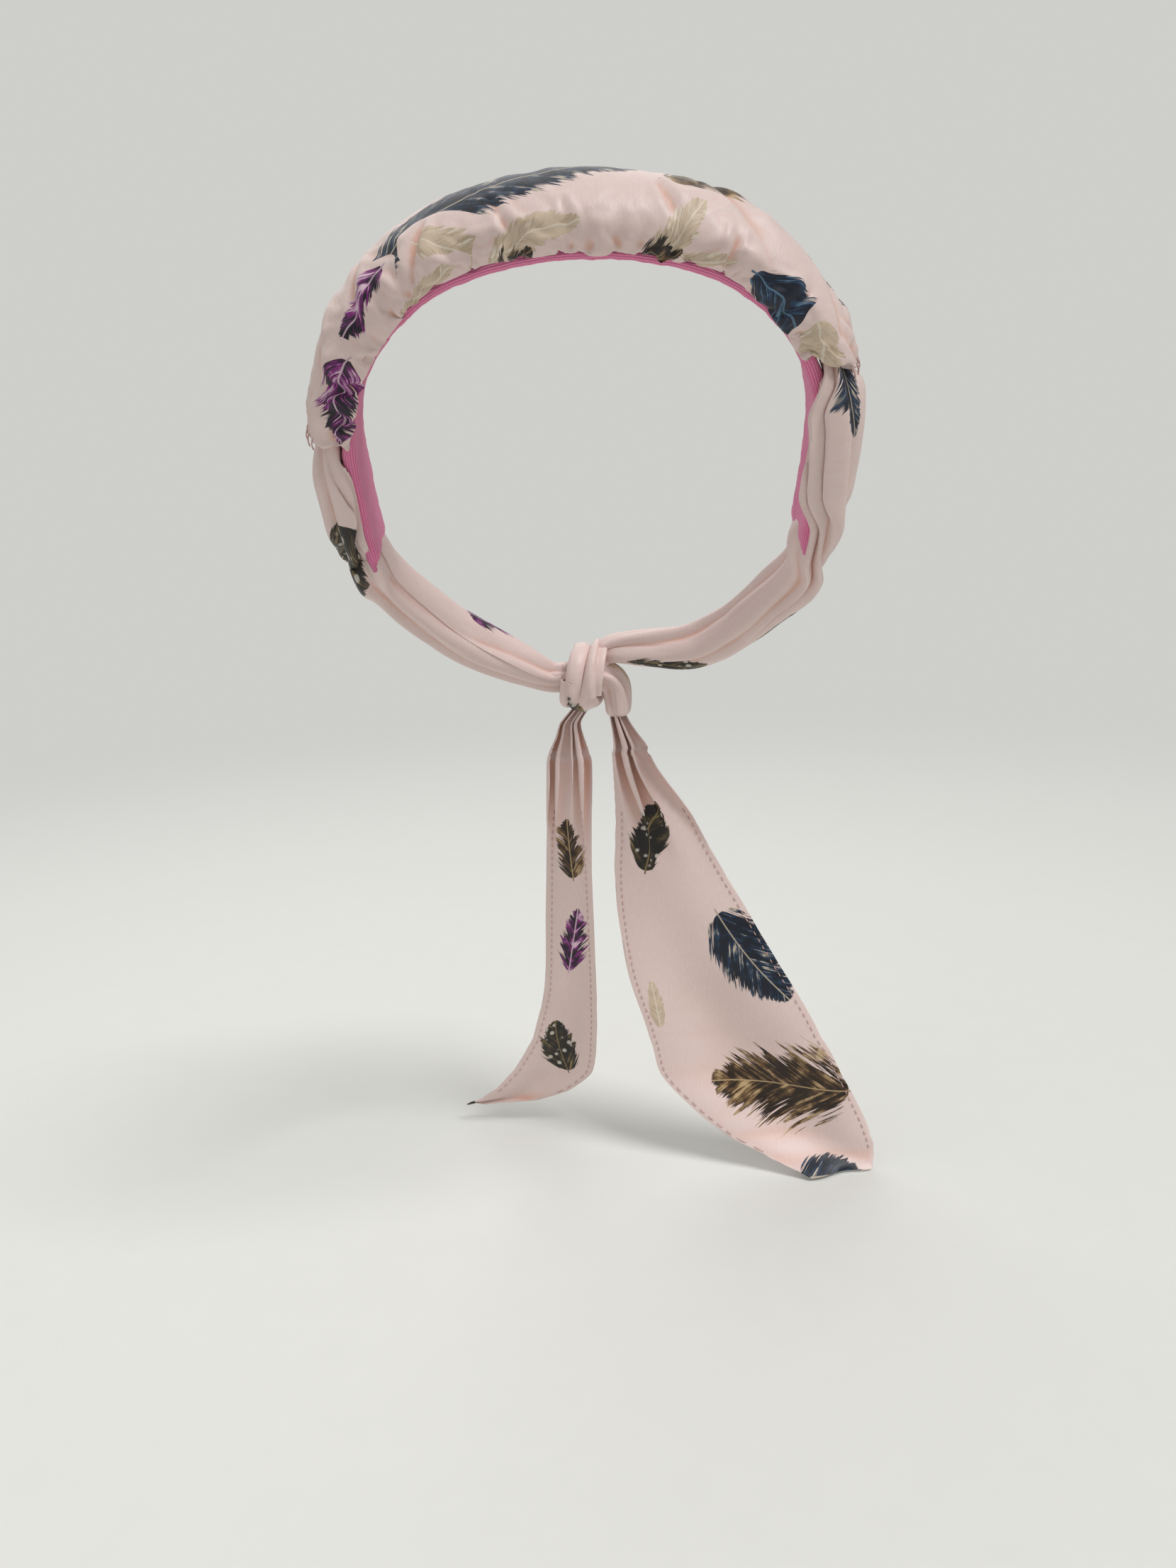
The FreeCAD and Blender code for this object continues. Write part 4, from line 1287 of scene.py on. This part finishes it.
class TailCut:
    """One tail from the knot to its bias-cut end: pleated at the neck and opening out below."""

    def __init__(self, name):
        self.name = name
        self.side = SIDES[name]
        self.top = NECK_TOP[name]
        self.foot = self.top + NECK_LEAN[name].normalized() * NECK_LENGTH
        self.hinge = self.foot + Vector((0, 0, -HINGE_DROP))
        up = -NECK_LEAN[name].normalized()
        rows = []
        inward = NECK_TUCK[name]
        for point, half in ((self.top + up * 11.0 + inward, 2.6), (self.top + up * 5.0 + inward * 0.45, 3.4),
                            (self.top, 4.0), (self.top - up * 7.0, 5.6), (self.foot, 8.0), (self.hinge, 8.8)):
            rows.append((point.z, point.x - self.side * half, point.y, point.x + self.side * half, point.y))
        self.rows = rows + TAIL_LEVELS[name]
        self.heights = [row[0] for row in self.rows]

    def level(self, height):
        """Inner and outer edge at a height, smoothly between the rows."""
        last = len(self.heights) - 1
        index = 0
        while index < last - 1 and height < self.heights[index + 1]:
            index += 1
        share = (self.heights[index] - height) / (self.heights[index] - self.heights[index + 1])
        return catmull(self.rows, (index + share) / last)[1:]

    def point(self, height, w):
        """A point of the cloth at a height, with w from 0 at the inner edge to 1 at the outer one."""
        inner_x, inner_y, outer_x, outer_y = self.level(height)
        drop = self.top.z - height
        width = abs(outer_x - inner_x)
        pleat = 1 - smooth(4.0, 85.0, drop)
        uneven = w + 0.055 * math.sin(8.5 * w + 2.0 * self.side + 0.02 * drop)
        phase = 2 * math.pi * PLEATS * uneven + 0.6 * self.side
        depth = 1.0 + 0.55 * noise.noise(Vector((w * 3.2, drop * 0.02, 9.0 * self.side)))
        x = blend_between(inner_x, outer_x, w) + self.side * 0.10 * width * pleat * depth * math.sin(phase)
        y = blend_between(inner_y, outer_y, w)
        y = y + (PLEAT_DEPTH[self.name] * depth * pleat ** 1.2) * math.cos(phase)
        open_out = smooth(30.0, 150.0, drop)
        low = 1 - smooth(200.0, 216.0, drop)
        rest = 1.0 if low <= 0 else blend_between(0.25, 1.0, low)
        wave = 3.0 * math.sin(2.4 * math.pi * w - drop * 0.017 + 1.0) + 1.8 * math.sin(4.3 * w + drop * 0.035)
        y += open_out * wave * 0.75 * rest * (width / 80.0) ** 0.5
        y += 0.5 * noise.noise(Vector((x * 0.05, drop * 0.04, 3.0 + self.side))) * open_out
        z = height + 0.4 * noise.noise(Vector((x * 0.04, 1.0, drop * 0.03)))
        return Vector((x, y, max(z, FLOOR_HEIGHT + 0.6)))

    def sheet_point(self, height, u, hem):
        """A point with the hem's fold: the cloth turns back behind both long edges."""
        inner_x, _, outer_x, _ = self.level(height)
        width = max(abs(outer_x - inner_x), 1.0)
        turned = min(hem / width, 0.3)
        w = u * (1 + 2 * turned) - turned
        back = 0.0
        if w < 0 or w > 1:
            past = -w if w < 0 else w - 1
            back = smooth(0.0, 0.25, past / turned)
            w = past if w < 0 else 1 - past
        point = self.point(height, w)
        return point + Vector((0, 0.75 * back, 0)), w


def tail_print(name):
    """Feathers of a tail by flat place: the tail's own x and height."""
    if name == "left":
        return [("navy", 69.0, -219.0, -52.0, 54.0, 31.0, -8.0),
                ("brown", 81.0, -281.0, 178.0, 64.0, 38.0, 0.0),
                ("navy", 104.0, -319.0, -6.0, 34.0, 15.0, 4.0),
                ("tan", 24.0, -240.0, 100.0, 24.0, 8.0, 0.0),
                ("guinea", 24.0, -158.0, 80.0, 34.0, 18.0, 0.0)]
    return [("guinea", -24.0, -272.0, 100.0, 30.0, 20.0, 6.0), ("speck", -72.0, -309.0, 0.0, 9.0, 8.0, 0.0),
            ("purple", -14.0, -212.0, 80.0, 34.0, 13.0, 0.0), ("brown", -14.0, -165.0, 95.0, 30.0, 12.0, 0.0)]


class HEADBAND_OT_tails(bpy.types.Operator):
    """Hang the two tails, with their pleated necks, hems and hem stitches"""

    bl_idname = "headband.tails"
    bl_label = "Make Tails"

    def execute(self, context):
        sizes, _ = settings()
        for name in SIDES:
            cut = TailCut(name)
            material = satin(f"{name} tail satin", [tail_print(name)], 60.0 + SIDES[name])
            high, seam, low = cut.heights[0], cut.foot.z, cut.heights[-1]

            def strip(top, bottom):
                def place(u, v):
                    return cut.sheet_point(blend_between(top, bottom, v), u, sizes.hem_width)[0]

                def flat(u, v):
                    height = blend_between(top, bottom, v)
                    w = cut.sheet_point(height, u, sizes.hem_width)[1]
                    inner_x, _, outer_x, _ = cut.level(height)
                    return blend_between(inner_x, outer_x, w), height
                return place, flat

            place, flat = strip(high, seam)
            neck = cloth(f"{name}_neck_cloth", 96, 24, place, flat)
            thicken(neck, sizes.satin_thickness, 0.0)
            mark_painted_fold_shade(neck)
            start = cut.top + Vector((0, 0, 5.0))
            end = cut.top - Vector((0, 0, 5.0))
            finish(neck, material, "printed_satin", f"{name}_tail_neck", body=f"{name}_neck",
                   blend=("headband", f"{name}_neck", start * MM, end * MM))

            place, flat = strip(seam, low)
            tail = cloth(f"{name}_tail_cloth", 96, 150, place, flat)
            thicken(tail, sizes.satin_thickness, 0.0)
            mark_painted_fold_shade(tail)
            start = cut.foot + Vector((0, 0, 0.2))
            end = cut.hinge - Vector((0, 0, 9.0))
            bend = (f"{name}_neck", f"{name}_hanging_tail", start * MM, end * MM)
            finish(tail, material, "printed_satin", f"{name}_tail", body=f"{name}_hanging_tail", blend=bend)

            bm = bmesh.new()
            height = TAIL_LEVELS[name][0][0] + 4.0
            while height > low + 9.0:
                inner_x, _, outer_x, _ = cut.level(height)
                width = abs(outer_x - inner_x)
                from_edge = (sizes.hem_width - HEM_INSET) / width
                for inset in from_edge, 1 - from_edge:
                    ends = [cut.point(height - t * HEM_STITCH, inset) for t in (0.0, 0.25, 0.5, 0.75, 1.0)]
                    for face, lift in HEM_LIFT.items():
                        run = [point + Vector((0, face * (lift - 0.2 * abs(2 * i / 4 - 1) ** 2), 0))
                               for i, point in enumerate(ends)]
                        add_tube(bm, run, sizes.thread_radius * 0.8, around=5)
                height -= HEM_PITCH
            thread = new_piece(f"{name}_hem_stitching", bm)
            finish(thread, sewing_thread(), "thread", f"{name}_tail_hem_thread", body=f"{name}_hanging_tail")
        return {"FINISHED"}


# ---------------------------------------------------------------- stage

class HEADBAND_OT_stage(bpy.types.Operator):
    """Set the floor, the soft light and the camera"""

    bl_idname = "headband.stage"
    bl_label = "Make Stage"

    def execute(self, context):
        scene = context.scene
        stage = scene.headband_stage
        _, colours = settings()
        bm = bmesh.new()
        bmesh.ops.create_circle(bm, cap_ends=True, segments=96, radius=1.7)
        bmesh.ops.translate(bm, verts=bm.verts, vec=(0, 0, FLOOR_HEIGHT * MM))
        floor = new_piece("floor", bm, smooth_faces=False)
        material, shader, n = new_material("pale floor", colours.floor, 0.55, specular=0.3)
        place = n.add("ShaderNodeTexCoord").outputs["Object"]
        speckle = n.noise(place, 60.0, 4.0)
        shade = tuple(value * 0.97 for value in colours.floor)
        n.feed(shader.inputs["Base Color"], n.mix(speckle, (*shade, 1), (*colours.floor, 1)))
        away = n.add("ShaderNodeVectorMath", operation="LENGTH")
        n.feed(away.inputs[0], place)
        fading = n.add("ShaderNodeMixShader")
        n.feed(fading.inputs[0], n.step(away.outputs["Value"], 0.35, 1.5))
        n.feed(fading.inputs[1], shader.outputs[0])
        n.feed(fading.inputs[2], n.add("ShaderNodeBsdfTransparent").outputs[0])
        n.feed(material.node_tree.nodes["Material Output"].inputs["Surface"], fading.outputs[0])
        floor.data.materials.append(material)

        camera_data = bpy.data.cameras.new("camera")
        camera_data.lens = stage.lens
        camera_data.sensor_fit = "VERTICAL"
        camera_data.sensor_height = 36.0
        camera_data.clip_start = 0.01
        camera = bpy.data.objects.new("camera", camera_data)
        scene.collection.objects.link(camera)
        camera.matrix_world = (Matrix.Translation((-0.004, -0.415, -0.020))
                               @ Matrix.Rotation(math.radians(90) - stage.pitch, 4, "X")
                               @ Matrix.Rotation(-stage.roll, 4, "Z"))
        scene.camera = camera
        scene.view_settings.view_transform = "Standard"

        for name, place, power, angle in (("key", (0.55, -0.45, 1.0), stage.light, 22.0),
                                          ("fill", (-0.8, -0.3, 0.7), stage.light * 0.22, 60.0),
                                          ("back", (-0.3, 0.9, 0.8), stage.light * 0.35, 60.0)):
            data = bpy.data.lights.new(name, "SUN")
            data.energy = power
            data.angle = math.radians(angle)
            lamp = bpy.data.objects.new(name, data)
            scene.collection.objects.link(lamp)
            lamp.location = place
            lamp.rotation_euler = (-Vector(place)).to_track_quat("-Z", "Y").to_euler()
        world = scene.world or bpy.data.worlds.new("studio")
        scene.world = world
        world.use_nodes = True
        n = Nodes(world.node_tree)
        sky = world.node_tree.nodes["Background"]
        sky.inputs["Color"].default_value = (0.62, 0.62, 0.595, 1)
        seen = n.add("ShaderNodeLightPath").outputs["Is Camera Ray"]
        n.feed(sky.inputs["Strength"], n.maths("MULTIPLY_ADD", seen, 1 - stage.sky, stage.sky))
        return {"FINISHED"}


class HEADBAND_PT_panel(bpy.types.Panel):
    """Settings and makers of the headband"""

    bl_idname = "HEADBAND_PT_panel"
    bl_label = "Knotted Headband"
    bl_space_type = "VIEW_3D"
    bl_region_type = "UI"
    bl_category = "Headband"

    def draw(self, context):
        layout = self.layout
        scene = context.scene
        for group in (scene.headband_sizes, scene.headband_colours, scene.headband_stage):
            box = layout.box()
            for name in group.__annotations__:
                box.prop(group, name)
        for maker in MAKERS:
            layout.operator(maker.bl_idname)


MAKERS = (HEADBAND_OT_stage, HEADBAND_OT_band, HEADBAND_OT_wadding, HEADBAND_OT_crown, HEADBAND_OT_stitches,
          HEADBAND_OT_ties, HEADBAND_OT_knot, HEADBAND_OT_tails)
GROUPS = {
    "headband_sizes": HeadbandSizes, "headband_colours": HeadbandColours, "headband_stage": HeadbandStage,
}


def register():
    """Registers the settings, makers and panel."""
    for group in GROUPS.values():
        bpy.utils.register_class(group)
    for maker in MAKERS:
        bpy.utils.register_class(maker)
    bpy.utils.register_class(HEADBAND_PT_panel)
    for name, group in GROUPS.items():
        setattr(bpy.types.Scene, name, bpy.props.PointerProperty(type=group))


def unregister():
    """Removes what register added."""
    for name in GROUPS:
        delattr(bpy.types.Scene, name)
    bpy.utils.unregister_class(HEADBAND_PT_panel)
    for maker in reversed(MAKERS):
        bpy.utils.unregister_class(maker)
    for group in GROUPS.values():
        bpy.utils.unregister_class(group)


def main():
    """Makes the whole headband in order."""
    register()
    for maker in MAKERS:
        group, name = maker.bl_idname.split(".")
        getattr(getattr(bpy.ops, group), name)()


if __name__ == "__main__":
    main()
